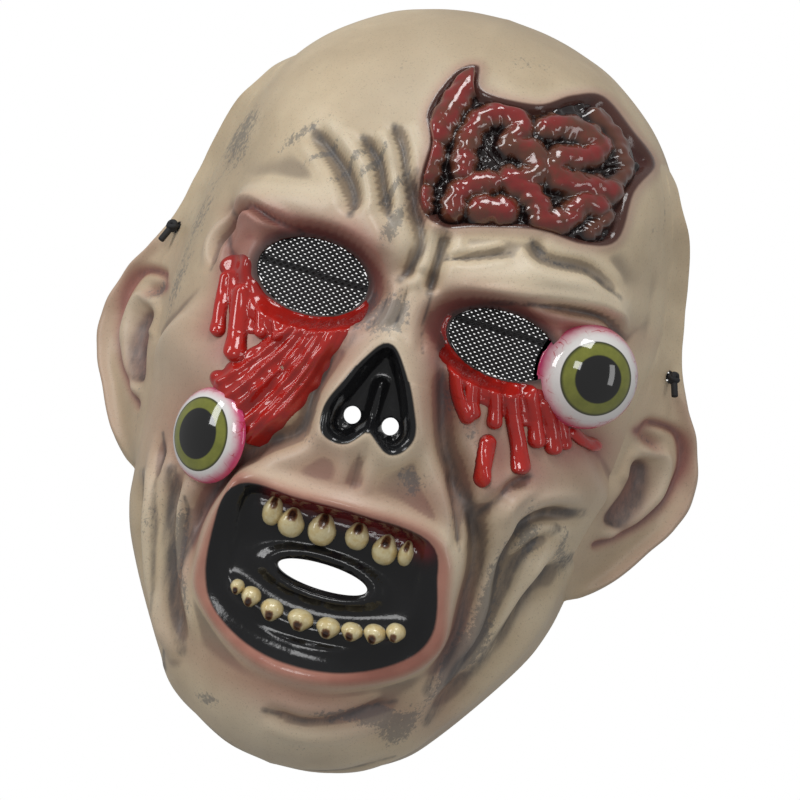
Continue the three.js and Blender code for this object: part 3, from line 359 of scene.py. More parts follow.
def nearest(line, x, z, limit=0.03):
    """Distance to a line, and how far along it that point is; farther than limit is only told as limit."""
    far = np.full(x.shape, limit)
    along = np.zeros(x.shape)
    low, high = line.min(0) - limit, line.max(0) + limit
    near = (x > low[0]) & (x < high[0]) & (z > low[1]) & (z < high[1])
    q = np.stack([x[near], z[near]], -1)
    best, place = np.full(len(q), limit), np.zeros(len(q))
    steps = len(line) - 1
    for i in range(steps):
        a, d = line[i], line[i + 1] - line[i]
        t = np.clip(((q - a) @ d) / max(float(d @ d), 1e-12), 0, 1)
        gap = np.hypot(q[:, 0] - a[0] - t * d[0], q[:, 1] - a[1] - t * d[1])
        closer = gap < best
        best = np.where(closer, gap, best)
        place = np.where(closer, (i + t) / steps, place)
    far[near], along[near] = best, place
    return far, along


def inside(line, x, z):
    odd = np.zeros(x.shape, bool)
    for (ax, az), (bx, bz) in zip(line[:-1], line[1:]):
        if az != bz:
            odd ^= ((az > z) != (bz > z)) & (x < (bx - ax) * (z - az) / (bz - az) + ax)
    return odd


def signed(line, x, z, limit=0.03):
    """Distance to a closed line, less than nothing inside it."""
    return np.where(inside(line, x, z), -1, 1) * nearest(line, x, z, limit)[0]


def ripple(x, y, z, size, seed):
    """Soft lumps with no repeat that shows, mostly between -1 and 1."""
    rng = np.random.default_rng(seed)
    total = 0
    for _ in range(7):
        way = rng.normal(size=3)
        way /= np.linalg.norm(way)
        run = (x * way[0] + y * way[1] + z * way[2]) * 2 * math.pi / size
        total = total + np.sin(run * rng.uniform(0.7, 1.4) + rng.uniform(0, 6.3))
    return total / 4


# The head's form

OUTLINE_LINE = curve_through([(half, z) for z, half in OUTLINE], per=10)
OUTLINE_TURN = np.arctan2(OUTLINE_LINE[:, 1] - CENTRE_Z, OUTLINE_LINE[:, 0])[::-1]
OUTLINE_REACH = np.hypot(OUTLINE_LINE[:, 0], OUTLINE_LINE[:, 1] - CENTRE_Z)[::-1]


def reach_at(turn):
    return np.interp(np.arcsin(np.clip(np.sin(turn), -1, 1)), OUTLINE_TURN, OUTLINE_REACH)


def width_at(z):
    return np.interp(-z, -OUTLINE_LINE[:, 1], OUTLINE_LINE[:, 0])


def head_point(share, turn):
    """The plain head, a dome between the front and the rim."""
    fold = np.degrees(np.arcsin(np.clip(np.sin(turn), -1, 1)))
    turns, backs, squares = (np.array(c, float) for c in zip(*RIM))
    k = np.clip(np.searchsorted(turns, fold) - 1, 0, len(turns) - 2)
    t = (fold - turns[k]) / (turns[k + 1] - turns[k])
    back = (backs[k] + (backs[k + 1] - backs[k]) * smooth(t)) * MM
    square = squares[k] + (squares[k + 1] - squares[k]) * t
    deep = np.maximum(0, 1 - np.minimum(1, share) ** square) ** (1 / square)
    r = reach_at(turn) * share
    return np.stack([r * np.cos(turn), back - (back + FRONT) * deep, CENTRE_Z + r * np.sin(turn)], -1)


def head_normal(share, turn):
    s = np.maximum(share, 0.02)
    out = head_point(np.minimum(1, s + 0.004), turn) - head_point(np.minimum(1, s + 0.004) - 0.008, turn)
    round_ = head_point(s, turn + 0.01) - head_point(s, turn - 0.01)
    n = np.cross(out, round_)
    n /= np.linalg.norm(n, axis=-1, keepdims=True)
    n[share < 0.02] = (0, -1, 0)
    return n


LINES = [
    (high, spread, curve_through(points)) for high, spread, points in (*FOLDS.values(), *CREASES.values())
]
LIPS_LINE = curve_through(LIPS, True)
MOUTH_LINE = curve_through(MOUTH, True)
NOSE_LINE = curve_through(NOSE, True)
GUM_PAINT_LINE = curve_through(GUM_PAINT)
UPPER_GUM_LINE = curve_through(UPPER_GUM)
LOWER_GUM_LINE = curve_through(LOWER_GUM)
SEPTUM_LINE = curve_through(SEPTUM)
WOUND_LINE = curve_through(WOUND, True)


def eye_share(name, x, z):
    """How far out from the middle of an eye hole, 1 at its edge."""
    ex, ez, tilt, tall = EYES[name]
    t = math.radians(tilt)
    dx, dz = x - ex * HALF_W, z - ez * HALF_W
    across = (dx * math.cos(t) + dz * math.sin(t)) / EYE_RX
    up = (dz * math.cos(t) - dx * math.sin(t)) / (EYE_RZ * tall)
    return np.hypot(across, up)


def wound_edge(x, z):
    """Distance out from the wound's edge, as the moulded rim has moved it."""
    return signed(WOUND_LINE, x, z + 1.2 * MM) + 1.5 * MM


def lift(x, z):
    """How far the features stand out of the head, along its normal."""
    h = np.zeros(x.shape)
    for high, spread, line in LINES:
        far, along = nearest(line, x, z, 3 * spread * FOLD_WIDTH + 1e-6)
        taper = smooth(np.minimum(along, 1 - along) * 5 + 0.15)
        wide = spread * FOLD_WIDTH
        if high < 0:
            shape = 1.25 * bell(far / (0.75 * wide)) - 0.42 * bell((far - 1.5 * wide) / (0.7 * wide))
        else:
            shape = bell(far / wide)
        h += high * FOLD_DEPTH * taper * shape * (far < 3 * wide)
    for cx, cz, rx, rz, high in SWELLS.values():
        h += high * FOLD_DEPTH * bell(np.hypot((x / HALF_W - cx) / rx, (z / HALF_W - cz) / rz))
    lips = signed(LIPS_LINE, x, z)
    h += 4.5 * MM * bell((lips + 4 * MM) / (3.8 * MM))
    nose = signed(NOSE_LINE, x, z)
    h += 2.6 * MM * bell((nose - 2.5 * MM) / (3.2 * MM))
    hurt = wound_edge(x, z)
    h += 0.8 * MM * bell((hurt - 1 * MM) / (2.5 * MM)) - 3.0 * MM * smooth((0.2 * MM - hurt) / (2.2 * MM))
    return h + 0.35 * MM * ripple(x, 0 * x, z, 22 * MM, 4)


def sink(x, z, y):
    """How far sockets, nose and mouth go back along Y."""
    at = y.copy()
    for name in EYES:
        pull = 1 - smooth((eye_share(name, x, z) - 1.08) / 0.42)
        at += (EYE_PLANE - at) * pull
    mouth = signed(MOUTH_LINE, x, z)
    nose = signed(NOSE_LINE, x, z)
    at += (MOUTH_FLOOR - at) * smooth((1 * MM - mouth) / (4 * MM))
    at += (NOSE_FLOOR - at) * smooth((1 * MM - nose) / (4 * MM))
    slot = np.hypot((x - SLOT_X) / (20 * MM), (z - SLOT_Z) / (7.4 * MM))
    at -= 3.2 * MM * bell((slot - 1.0) / 0.22)
    septum = nearest(SEPTUM_LINE, x, z, 0.01)[0]
    at -= 4 * MM * bell(septum / (1.7 * MM)) * smooth(-nose / (1.5 * MM))
    gum = nearest(UPPER_GUM_LINE, x, z, 0.02)[0]
    at -= 4 * MM * bell(gum / (6 * MM)) * smooth(-mouth / (3 * MM))
    low = nearest(LOWER_GUM_LINE, x, z, 0.02)[0]
    at -= 3 * MM * bell(low / (4 * MM)) * smooth(-mouth / (3 * MM))
    return at - y


def skin_at(share, turn):
    """The finished skin at a share of the reach in one direction, and what moved it there."""
    p = head_point(share, turn)
    n = head_normal(share, turn)
    edge = smooth((1 - share) / 0.05)
    high = lift(p[..., 0], p[..., 2]) * edge
    q = p + n * high[..., None]
    deep = sink(q[..., 0], q[..., 2], q[..., 1]) * edge
    at = q.copy()
    at[..., 1] += deep
    return {"base": p, "normal": n, "high": high, "deep": deep, "at": at}


def skin_over(x, z):
    turn = np.arctan2(z - CENTRE_Z, x)
    share = np.minimum(0.985, np.hypot(x, z - CENTRE_Z) / reach_at(turn))
    return skin_at(share, turn)


def skin_where(x, z):
    """The skin whose finished place is at x and z, found by stepping back from where the folds push it."""
    bx, bz = x.copy(), z.copy()
    for _ in range(4):
        at = skin_over(bx, bz)["at"]
        bx += 0.8 * (x - at[..., 0])
        bz += 0.8 * (z - at[..., 2])
    return skin_over(bx, bz)


# Making pieces

def alone(obj=None):
    bpy.ops.object.select_all(action="DESELECT")
    if obj is not None:
        obj.select_set(True)
        bpy.context.view_layer.objects.active = obj


def points_of(obj):
    co = np.empty(len(obj.data.vertices) * 3)
    obj.data.vertices.foreach_get("co", co)
    return co.reshape(-1, 3)


def grid(name, across, up):
    """A new flat grid and the shares, -1 to 1, of its vertices."""
    alone()
    bpy.ops.mesh.primitive_grid_add(x_subdivisions=across, y_subdivisions=up, size=2)
    obj = bpy.context.object
    obj.name = name
    return obj, points_of(obj)[:, :2]


def put(obj, points):
    obj.data.vertices.foreach_set("co", np.ascontiguousarray(points, dtype=np.float32).ravel())
    obj.data.update()


def paint(obj, name, values):
    layer = obj.data.attributes.new(name, "FLOAT", "POINT")
    layer.data.foreach_set("value", np.ascontiguousarray(values, dtype=np.float32))


def edit(obj, *steps):
    alone(obj)
    bpy.ops.object.mode_set(mode="EDIT")
    bpy.ops.mesh.select_all(action="SELECT")
    for step in steps:
        step()
    bpy.ops.object.mode_set(mode="OBJECT")


def apply(obj, kind, **settings):
    alone(obj)
    mod = obj.modifiers.new(kind.title(), kind)
    for key, value in settings.items():
        setattr(mod, key, value)
    bpy.ops.object.modifier_apply(modifier=mod.name)


def thicken(obj, wall):
    apply(obj, "SOLIDIFY", thickness=wall, offset=-1.0)


def cut(obj, cutter):
    apply(obj, "BOOLEAN", operation="DIFFERENCE", object=cutter, solver="MANIFOLD")
    bpy.data.objects.remove(cutter)


def drop_vertices(obj, hidden):
    edit(obj, lambda: bpy.ops.mesh.select_all(action="DESELECT"))
    for vertex, out in zip(obj.data.vertices, hidden):
        vertex.select = bool(out)
    bpy.ops.object.mode_set(mode="EDIT")
    bpy.ops.mesh.delete(type="VERT")
    bpy.ops.object.mode_set(mode="OBJECT")


def shade(obj, material):
    obj.data.materials.clear()
    obj.data.materials.append(material)
    alone(obj)
    bpy.ops.object.shade_smooth()


def hand_over(obj, node=None):
    """Tie a finished piece to the frame's one body, and hide the solid that it stands for."""
    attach(obj, "root")
    if node:
        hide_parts(node)
    return obj


def join(objs, name):
    alone()
    for o in objs:
        o.select_set(True)
    bpy.context.view_layer.objects.active = objs[0]
    bpy.ops.object.join()
    objs[0].name = name
    return objs[0]


def settle(obj):
    alone(obj)
    bpy.ops.object.transform_apply(location=True, rotation=True, scale=True)
    return obj


def rod_cutter(radius_x, radius_z, at, way, long, parts=96):
    alone()
    bpy.ops.mesh.primitive_cylinder_add(vertices=parts, radius=1, depth=long)
    obj = bpy.context.object
    obj.matrix_world = (
        Matrix.Translation(at)
        @ Vector(way).to_track_quat("Z", "Y").to_matrix().to_4x4()
        @ Matrix.Diagonal((radius_x, radius_z, 1, 1))
    )
    return settle(obj)


def grid_lines(count, fine, low, high):
    """Grid lines from -1 to 1, with the fine ones between low and high."""
    below = round((count - fine) * (1 + low) / (2 + low - high))
    above = count - fine - below
    return np.concatenate([
        np.linspace(-1, low, below, endpoint=False),
        np.linspace(low, high, fine, endpoint=False),
        np.linspace(high, 1, above + 1),
    ])


def blur(field, reach):
    """Three running means along rows and columns, near to a soft round blur."""
    for _ in range(3):
        for axis in (0, 1):
            pad = [(0, 0), (0, 0)]
            pad[axis] = (reach + 1, reach)
            run = np.cumsum(np.pad(field, pad, mode="edge"), axis=axis)
            lead = np.take(run, range(2 * reach + 1, run.shape[axis]), axis=axis)
            lag = np.take(run, range(0, run.shape[axis] - 2 * reach - 1), axis=axis)
            field = (lead - lag) / (2 * reach + 1)
    return field


# Soft oval patches of paint: centre x and z, radii, tilt in degrees, strength
FLUSH = (
    (-0.66, 0.0, 0.1, 0.13, 0, 1.0), (-0.6, 0.06, 0.11, 0.07, 20, 1.0), (-0.5, 0.11, 0.22, 0.05, 0, 1.0),
    (-0.2, 0.1, 0.14, 0.1, -40, 0.7), (-0.5, -0.34, 0.3, 0.2, 0, 0.55), (-0.14, -0.24, 0.1, 0.18, 0, 0.6),
    (0.22, -0.12, 0.1, 0.16, 0, 0.8), (0.6, 0.05, 0.26, 0.06, 10, 0.8), (0.24, -0.36, 0.12, 0.16, 0, 0.5),
    (0.32, -0.7, 0.1, 0.1, 0, 0.4), (-0.62, -0.74, 0.24, 0.22, 0, 0.7), (0.78, -0.36, 0.2, 0.16, 0, 0.6),
    (-0.08, -0.64, 0.16, 0.1, 0, 0.35), (0.53, -1.2, 0.09, 0.25, 0, 0.6), (-0.48, -1.05, 0.07, 0.3, 0, 0.7),
    (0.04, -1.5, 0.4, 0.08, 0, 0.7), (0.5, -0.5, 0.2, 0.15, -30, 0.5), (0.02, -0.76, 0.36, 0.08, 0, 0.5),
)
# Grey-blue dry-brushed paint, laid along the wrinkles and folds, where it is also painted shade
FOLD_PAINT_AND_SHADE = (
    (-0.57, 0.47, 0.03, 0.12, -38, 0.75), (-0.46, 0.42, 0.02, 0.11, -35, 0.7),
    (-0.34, 0.4, 0.025, 0.13, -30, 0.8), (-0.25, 0.44, 0.022, 0.12, -24, 0.75),
    (-0.15, 0.36, 0.025, 0.12, -20, 0.8), (-0.1, 0.24, 0.04, 0.1, -12, 0.8),
    (-0.86, 0.38, 0.08, 0.14, 20, 0.6), (-0.8, 0.5, 0.07, 0.08, 30, 0.45), (-0.9, 0.1, 0.05, 0.2, 0, 0.5),
    (-0.9, -0.22, 0.04, 0.16, 0, 0.6), (-0.12, -0.12, 0.04, 0.12, -10, 0.85),
    (-0.03, -0.12, 0.05, 0.1, 0, 0.8), (0.03, -0.08, 0.05, 0.1, 15, 0.6), (0.3, -0.34, 0.04, 0.1, 30, 0.7),
    (0.23, -0.67, 0.06, 0.08, 40, 0.7), (-0.16, -0.62, 0.06, 0.05, 30, 0.5),
    (0.7, -0.72, 0.05, 0.14, 25, 0.8), (0.84, -0.78, 0.04, 0.12, 20, 0.6), (0.63, -0.95, 0.05, 0.2, 4, 0.9),
    (0.62, -1.14, 0.05, 0.2, -12, 0.9), (0.55, -1.32, 0.05, 0.16, -28, 0.8),
    (-0.25, -1.63, 0.06, 0.03, 20, 0.8), (0.26, -1.52, 0.16, 0.035, 8, 1.0),
    (0.4, -1.56, 0.08, 0.05, 20, 0.9), (0.1, -1.66, 0.12, 0.03, 0, 0.35),
    (-0.46, -1.32, 0.05, 0.14, 20, 0.6), (-0.57, -1.14, 0.04, 0.18, 14, 0.7),
    (-0.7, -1.1, 0.04, 0.2, 12, 0.5), (0.45, 0.3, 0.05, 0.014, -30, 0.8), (0.54, 0.27, 0.06, 0.014, -5, 0.6),
    (0.16, 0.98, 0.12, 0.05, 10, 0.4), (-0.24, 0.85, 0.1, 0.05, 20, 0.3), (-0.62, 0.72, 0.12, 0.04, 30, 0.3),
    (0.84, 0.6, 0.05, 0.14, 0, 0.4), (0.42, -0.72, 0.06, 0.12, 10, 0.4), (0.4, -0.45, 0.03, 0.1, 20, 0.5),
)
# Painted highlights: paler paint on the brows, cheekbones, nose bridge, chin and other raised places
PAINTED_HIGHLIGHTS = (
    (-0.16, 0.7, 0.3, 0.3, 0, 0.7), (-0.4, 0.26, 0.2, 0.05, -8, 0.9), (0.4, 0.22, 0.3, 0.05, 4, 0.8),
    (-0.7, -0.5, 0.24, 0.1, 20, 0.6), (0.66, -0.56, 0.22, 0.1, -20, 0.7), (-0.02, -0.3, 0.08, 0.12, 0, 0.6),
    (0.02, -1.68, 0.3, 0.12, 0, 0.7), (-0.4, -1.05, 0.04, 0.3, 0, 0.3), (0.42, -0.92, 0.06, 0.2, 0, 0.5),
)


def patch(rows, x, z):
    """How much paint the soft oval patches lay at each place."""
    total = np.zeros(x.shape)
    for cx, cz, rx, rz, tilt, strength in rows:
        t = math.radians(tilt)
        dx, dz = x / HALF_W - cx, z / HALF_W - cz
        a = (dx * math.cos(t) + dz * math.sin(t)) / rx
        b = (dz * math.cos(t) - dx * math.sin(t)) / rz
        total += strength * bell(np.hypot(a, b))
    return np.clip(total, 0, 1)


GORE_LINES = {
    side: [(size, curve_through(points)) for size, points in rows.values()] for side, rows in DRIPS.items()
}
FILM_LINES = {side: curve_through(points) for side, points in FILMS.items()}
UNDER_LINES = {side: curve_through(points) for side, points in UNDER_FILMS.items()}
NERVE_LINES = [curve_through(points) for points in NERVES]

# The gore's patches: lowest x and z, then highest
GORE_FRAMES = {"left": ((-0.76, -0.72), (-0.06, 0.06)), "right": ((0.12, -0.68), (0.88, 0.04))}


def paint_distance(obj, name, far, more=0.0):
    """Distances in millimetres, held within what the materials look at."""
    paint(obj, name, more + np.clip(far / MM, -FAR_OFF, FAR_OFF))


def paint_skin(obj, x, z):
    eyes = np.minimum(eye_share("left", x, z), eye_share("right", x, z))
    gore = np.zeros(x.shape)
    for lines in GORE_LINES.values():
        for size, line in lines:
            gore = np.maximum(gore, bell(nearest(line, x, z, 0.02)[0] / (size * DRIP_R * 2.4)))
    # Painted shade along the creases: the distance to the nearest sunken fold, which the skin material
    # darkens
    furrow = np.full(x.shape, 3.0)
    for high, spread, line in LINES:
        if high < 0:
            far = nearest(line, x, z, 0.02)[0] / (spread * FOLD_WIDTH)
            furrow = np.minimum(furrow, far + 0.35 * max(0, 0.9 + high))
    paint(obj, "flush", np.clip(patch(FLUSH, x, z) + 0.6 * bell((eyes - 1.1) / 0.55) + 0.5 * gore, 0, 1))
    # Grey-blue dry-brushed paint with painted shade in the folds
    paint(obj, "fold_paint_and_shade", patch(FOLD_PAINT_AND_SHADE, x, z))
    # Painted highlights on raised places
    paint(obj, "painted_highlight", patch(PAINTED_HIGHLIGHTS, x, z))
    paint(obj, "furrow", furrow)
    paint(obj, "gum", bell(nearest(GUM_PAINT_LINE, x, z, 0.02)[0] / (3.5 * MM)))
    paint_distance(obj, "lips", signed(LIPS_LINE, x, z))
    paint_distance(obj, "mouth", signed(MOUTH_LINE, x, z))
    paint_distance(obj, "nose", signed(NOSE_LINE, x, z))
    paint_distance(obj, "wound", wound_edge(x, z))
    paint(obj, "eyes", np.clip(eyes, 0, 3))


def paint_back(obj, x, z):
    """Behind the skin only the edges of the cut openings are dark."""
    eyes = np.minimum(eye_share("left", x, z), eye_share("right", x, z))
    paint(obj, "eyes", 0.25 + np.clip(eyes, 0, 3))
    paint_distance(obj, "mouth", signed(MOUTH_LINE, x, z), 1.5)
    paint_distance(obj, "nose", signed(NOSE_LINE, x, z), 1.5)
    for name in ("lips", "wound", "furrow"):
        paint(obj, name, np.full(len(x), FAR_OFF))


# Materials

def sizes():
    return bpy.context.scene.mask_sizes


def tree(name, rough=0.5, **sockets):
    m = bpy.data.materials.new(name)
    m.use_nodes = True
    shader = m.node_tree.nodes["Principled BSDF"]
    shader.inputs["Roughness"].default_value = rough
    for key, value in sockets.items():
        shader.inputs[key.replace("_", " ")].default_value = value
    return m, m.node_tree, shader


def feed(t, socket, value):
    """Give a socket a number, a colour or another node's output."""
    if isinstance(value, (int, float)):
        socket.default_value = value
    elif isinstance(value, tuple):
        socket.default_value = (*value, 1)
    else:
        t.links.new(value, socket)


def attribute(t, name):
    n = t.nodes.new("ShaderNodeAttribute")
    n.attribute_name = name
    return n.outputs["Fac"]


def math_node(t, kind, a, b, clamp=False):
    n = t.nodes.new("ShaderNodeMath")
    n.operation = kind
    n.use_clamp = clamp
    feed(t, n.inputs[0], a)
    feed(t, n.inputs[1], b)
    return n.outputs[0]


def times(t, a, b, clamp=False):
    return math_node(t, "MULTIPLY", a, b, clamp)


def plus(t, a, b):
    return math_node(t, "ADD", a, b)


def mix(t, fac, a, b):
    n = t.nodes.new("ShaderNodeMix")
    n.data_type = "RGBA"
    for socket, value in ((n.inputs["Factor"], fac), (n.inputs[6], a), (n.inputs[7], b)):
        feed(t, socket, value)
    return n.outputs[2]


def blend(t, fac, a, b):
    n = t.nodes.new("ShaderNodeMix")
    n.data_type = "FLOAT"
    for socket, value in ((n.inputs["Factor"], fac), (n.inputs[2], a), (n.inputs[3], b)):
        feed(t, socket, value)
    return n.outputs[0]


def noise(t, scale, detail=3, rough=0.55, stretch=None, turn=0.0):
    co = t.nodes.new("ShaderNodeTexCoord").outputs["Object"]
    if stretch:
        m = t.nodes.new("ShaderNodeMapping")
        m.inputs["Scale"].default_value = stretch
        m.inputs["Rotation"].default_value = (0, turn, 0)
        t.links.new(co, m.inputs["Vector"])
        co = m.outputs["Vector"]
    n = t.nodes.new("ShaderNodeTexNoise")
    n.inputs["Scale"].default_value = scale
    n.inputs["Detail"].default_value = detail
    n.inputs["Roughness"].default_value = rough
    t.links.new(co, n.inputs["Vector"])
    return n.outputs["Fac"]


def step(t, value, low, high):
    n = t.nodes.new("ShaderNodeMapRange")
    n.interpolation_type = "SMOOTHSTEP"
    n.inputs["From Min"].default_value = low
    n.inputs["From Max"].default_value = high
    t.links.new(value, n.inputs["Value"])
    return n.outputs["Result"]


def bump(t, shader, height, strength, distance):
    n = t.nodes.new("ShaderNodeBump")
    n.inputs["Strength"].default_value = strength
    n.inputs["Distance"].default_value = distance
    t.links.new(height, n.inputs["Height"])
    t.links.new(n.outputs["Normal"], shader.inputs["Normal"])


def grouped(name, build):
    """The node group of this name, built the first time that a material asks for it."""
    group = bpy.data.node_groups.get(name)
    if group is None:
        group = bpy.data.node_groups.new(name, "ShaderNodeTree")
        build(group)
    return group


def build_weather(group):
    """Speckle, brushed streaks and clouds on object coordinates."""
    for socket in ("Speckle", "Streaks", "Clouds"):
        group.interface.new_socket(socket, in_out="OUTPUT", socket_type="NodeSocketFloat")
    out = group.nodes.new("NodeGroupOutput")
    speckle = step(group, noise(group, 1300, 3, 0.8), 0.56, 0.72)
    streaks = noise(group, 90, 6, 0.7, (1.6, 1, 0.42), 0.5)
    clouds = noise(group, 14, 4, 0.6)
    for socket, value in zip(("Speckle", "Streaks", "Clouds"), (speckle, streaks, clouds)):
        group.links.new(value, out.inputs[socket])


def weather(t):
    n = t.nodes.new("ShaderNodeGroup")
    n.node_tree = grouped("weather", build_weather)
    return n.outputs["Speckle"], n.outputs["Streaks"], n.outputs["Clouds"]


def skin_material():
    """Thin coats over the skin colour, each laid where a painted attribute says; some are painted shade in
    hollows and folds and painted highlights on raised places.
    """
    m, t, shader = tree("moulded_skin", 0.4)
    speckle, streaks, clouds = weather(t)

    def coat(under, share, strength, over):
        return mix(t, times(t, share, strength), under, over)

    def painted(name, low=None, high=None):
        value = attribute(t, name)
        return value if low is None else step(t, value, low, high)

    light_skin = tuple(sizes().skin)
    dark_skin = tuple(c * k for c, k in zip(light_skin, (0.82, 0.79, 0.75)))
    colour = mix(t, step(t, clouds, 0.35, 0.68), dark_skin, light_skin)
    # Painted highlights on raised places
    colour = coat(colour, painted("painted_highlight"), 0.5, (0.74, 0.64, 0.49))
    colour = coat(colour, step(t, clouds, 0.62, 0.3), 0.18, (0.3, 0.25, 0.2))
    # Painted shade in the wide valleys and the narrow hollows of the relief
    colour = coat(colour, painted("valley_shade"), 0.3, (0.2, 0.14, 0.1))
    colour = coat(colour, painted("hollow_shade", 0.3, 1.0), 0.5, (0.095, 0.068, 0.06))
    # Painted highlights on the ridges of the relief
    colour = coat(colour, painted("ridge"), 0.55, (0.78, 0.67, 0.5))
    flush = times(t, painted("flush"), blend(t, clouds, 0.45, 1.15), True)
    colour = coat(colour, flush, 0.92, (0.33, 0.08, 0.08))
    colour = coat(colour, painted("wound", 6, 0), 0.5, (0.32, 0.09, 0.085))
    # Grey-blue dry-brushed flecks and streaks, laid along the folds, where they also stand for painted shade
    flecks = plus(t, times(t, noise(t, 620, 3, 0.7), 0.9), times(t, streaks, 0.7))
    brushed = plus(t, times(t, painted("fold_paint_and_shade"), 0.62), flecks)
    colour = coat(colour, step(t, brushed, 1.07, 1.24), 0.58, (0.1, 0.11, 0.122))
    # Painted shade along the creases, broken by streaks
    groove = times(t, painted("furrow", 0.62, 0.12), step(t, streaks, 0.28, 0.62))
    colour = coat(colour, groove, 0.75, (0.07, 0.068, 0.072))
    colour = coat(colour, speckle, 0.4, (0.09, 0.06, 0.05))
    # A near-black ring down the eye sockets' walls: black airbrushed paint and painted shade in the recess
    colour = coat(colour, painted("eyes", 1.3, 1.0), 0.88, (0.022, 0.01, 0.011))
    cut_edge = painted("wound", 1.6, 0.4)
    colour = coat(colour, cut_edge, 0.9, (0.045, 0.006, 0.006))
    lip = mix(t, step(t, clouds, 0.35, 0.6), (0.33, 0.1, 0.075), (0.5, 0.22, 0.165))
    lip_share = times(t, painted("lips", 0, -5), 0.9)
    colour = mix(t, lip_share, colour, lip)
    black = math_node(t, "MAXIMUM", painted("mouth", 3.0, 2.2), painted("nose", 2.2, 1.4))
    gum = times(t, painted("gum"), step(t, clouds, 0.34, 0.56))
    colour = mix(t, black, colour, mix(t, gum, (0.011, 0.011, 0.012), (0.15, 0.012, 0.015)))
    t.links.new(colour, shader.inputs["Base Color"])

    gloss = math_node(t, "MAXIMUM", math_node(t, "MAXIMUM", lip_share, black), cut_edge)
    t.links.new(blend(t, gloss, 0.42, 0.14), shader.inputs["Roughness"])
    fine = plus(t, noise(t, 420, 3, 0.6), times(t, streaks, 0.5))
    bump(t, shader, fine, 0.16, 0.0006)
    shader.inputs["Subsurface Weight"].default_value = 0.04
    shader.inputs["Subsurface Radius"].default_value = (0.003, 0.0015, 0.001)
    return m


def brain_material():
    m, t, shader = tree("wet_brain", 0.1, Coat_Weight=0.8)
    clouds = noise(t, 70, 4, 0.6)
    crest = attribute(t, "crest")
    colour = mix(t, step(t, crest, 0.3, 0.68), (0.01, 0.003, 0.003), (0.13, 0.042, 0.022))
    red = times(t, step(t, crest, 0.6, 0.96), step(t, clouds, 0.34, 0.58))
    colour = mix(t, red, colour, tuple(sizes().brain))
    colour = mix(t, times(t, step(t, clouds, 0.58, 0.7), 0.5), colour, (0.17, 0.075, 0.035))
    t.links.new(colour, shader.inputs["Base Color"])
    bump(t, shader, noise(t, 150, 2, 0.5), 0.45, 0.002)
    return m


def gore_material():
    m, t, shader = tree("wet_gore", 0.12, Coat_Weight=0.5)
    clouds = noise(t, 90, 4, 0.6)
    colour = mix(t, step(t, attribute(t, "crest"), 0.05, 0.6), (0.07, 0.004, 0.004), tuple(sizes().gore))
    colour = mix(t, times(t, step(t, clouds, 0.5, 0.75), 0.5), colour, (0.2, 0.008, 0.008))
    t.links.new(colour, shader.inputs["Base Color"])
    bump(t, shader, noise(t, 300, 3, 0.6), 0.2, 0.0006)
    return m


def tooth_material():
    """Ivory that turns brown and then black towards the root."""
    m, t, shader = tree("stained_tooth", 0.2, Coat_Weight=0.4)
    mottle = noise(t, 260, 4, 0.7)
    colour = mix(t, step(t, mottle, 0.35, 0.65), (0.8, 0.7, 0.42), (0.68, 0.53, 0.25))
    worn = plus(t, attribute(t, "root"), times(t, math_node(t, "SUBTRACT", mottle, 0.5), 0.9))
    colour = mix(t, step(t, worn, 0.35, 0.8), colour, (0.2, 0.085, 0.032))
    colour = mix(t, step(t, worn, 0.72, 1.05), colour, (0.03, 0.012, 0.008))
    t.links.new(colour, shader.inputs["Base Color"])
    return m


def vein_threads(t):
    """Thin branching lines: the edges of cells whose coordinates are pushed about."""
    co = t.nodes.new("ShaderNodeTexCoord").outputs["Object"]
    jitter = t.nodes.new("ShaderNodeTexNoise")
    jitter.inputs["Scale"].default_value = 190
    t.links.new(co, jitter.inputs["Vector"])
    push = t.nodes.new("ShaderNodeVectorMath")
    push.operation = "SCALE"
    push.inputs["Scale"].default_value = 0.008
    t.links.new(jitter.outputs["Color"], push.inputs[0])
    moved = t.nodes.new("ShaderNodeVectorMath")
    moved.operation = "ADD"
    t.links.new(co, moved.inputs[0])
    t.links.new(push.outputs[0], moved.inputs[1])
    cells = t.nodes.new("ShaderNodeTexVoronoi")
    cells.feature = "DISTANCE_TO_EDGE"
    cells.inputs["Scale"].default_value = 130
    t.links.new(moved.outputs[0], cells.inputs["Vector"])
    return step(t, cells.outputs["Distance"], 0.045, 0.0)


def eye_material(iris, pupil, side):
    """White with veins, an olive iris and a black pupil, by the angle from the pupil in degrees."""
    m, t, shader = tree("glossy_eye_" + side, 0.07, Coat_Weight=0.8)
    angle = attribute(t, "polar")
    clouds = noise(t, 160, 4, 0.65)
    rim = step(t, plus(t, angle, times(t, clouds, 18)), 60, 90)
    colour = mix(t, times(t, rim, 0.95), (0.82, 0.8, 0.78), (0.66, 0.02, 0.16))
    away = step(t, angle, iris + 6, iris + 22)
    thin = times(t, times(t, vein_threads(t), away), step(t, clouds, 0.42, 0.55))
    colour = mix(t, times(t, thin, 0.9), colour, (0.5, 0.02, 0.04))
    olive = mix(t, clouds, (0.1, 0.115, 0.012), tuple(sizes().iris))
    olive = mix(t, step(t, angle, iris - 5, iris - 0.5), olive, (0.035, 0.04, 0.008))
    colour = mix(t, step(t, angle, iris + 1.0, iris - 0.5), colour, olive)
    colour = mix(t, step(t, angle, pupil + 1.2, pupil - 1.2), colour, (0.006, 0.006, 0.006))
    t.links.new(colour, shader.inputs["Base Color"])
    return m


def plain_material(name, colour, rough):
    m, _, shader = tree(name, rough)
    shader.inputs["Base Color"].default_value = (*colour, 1)
    return m


# Pieces

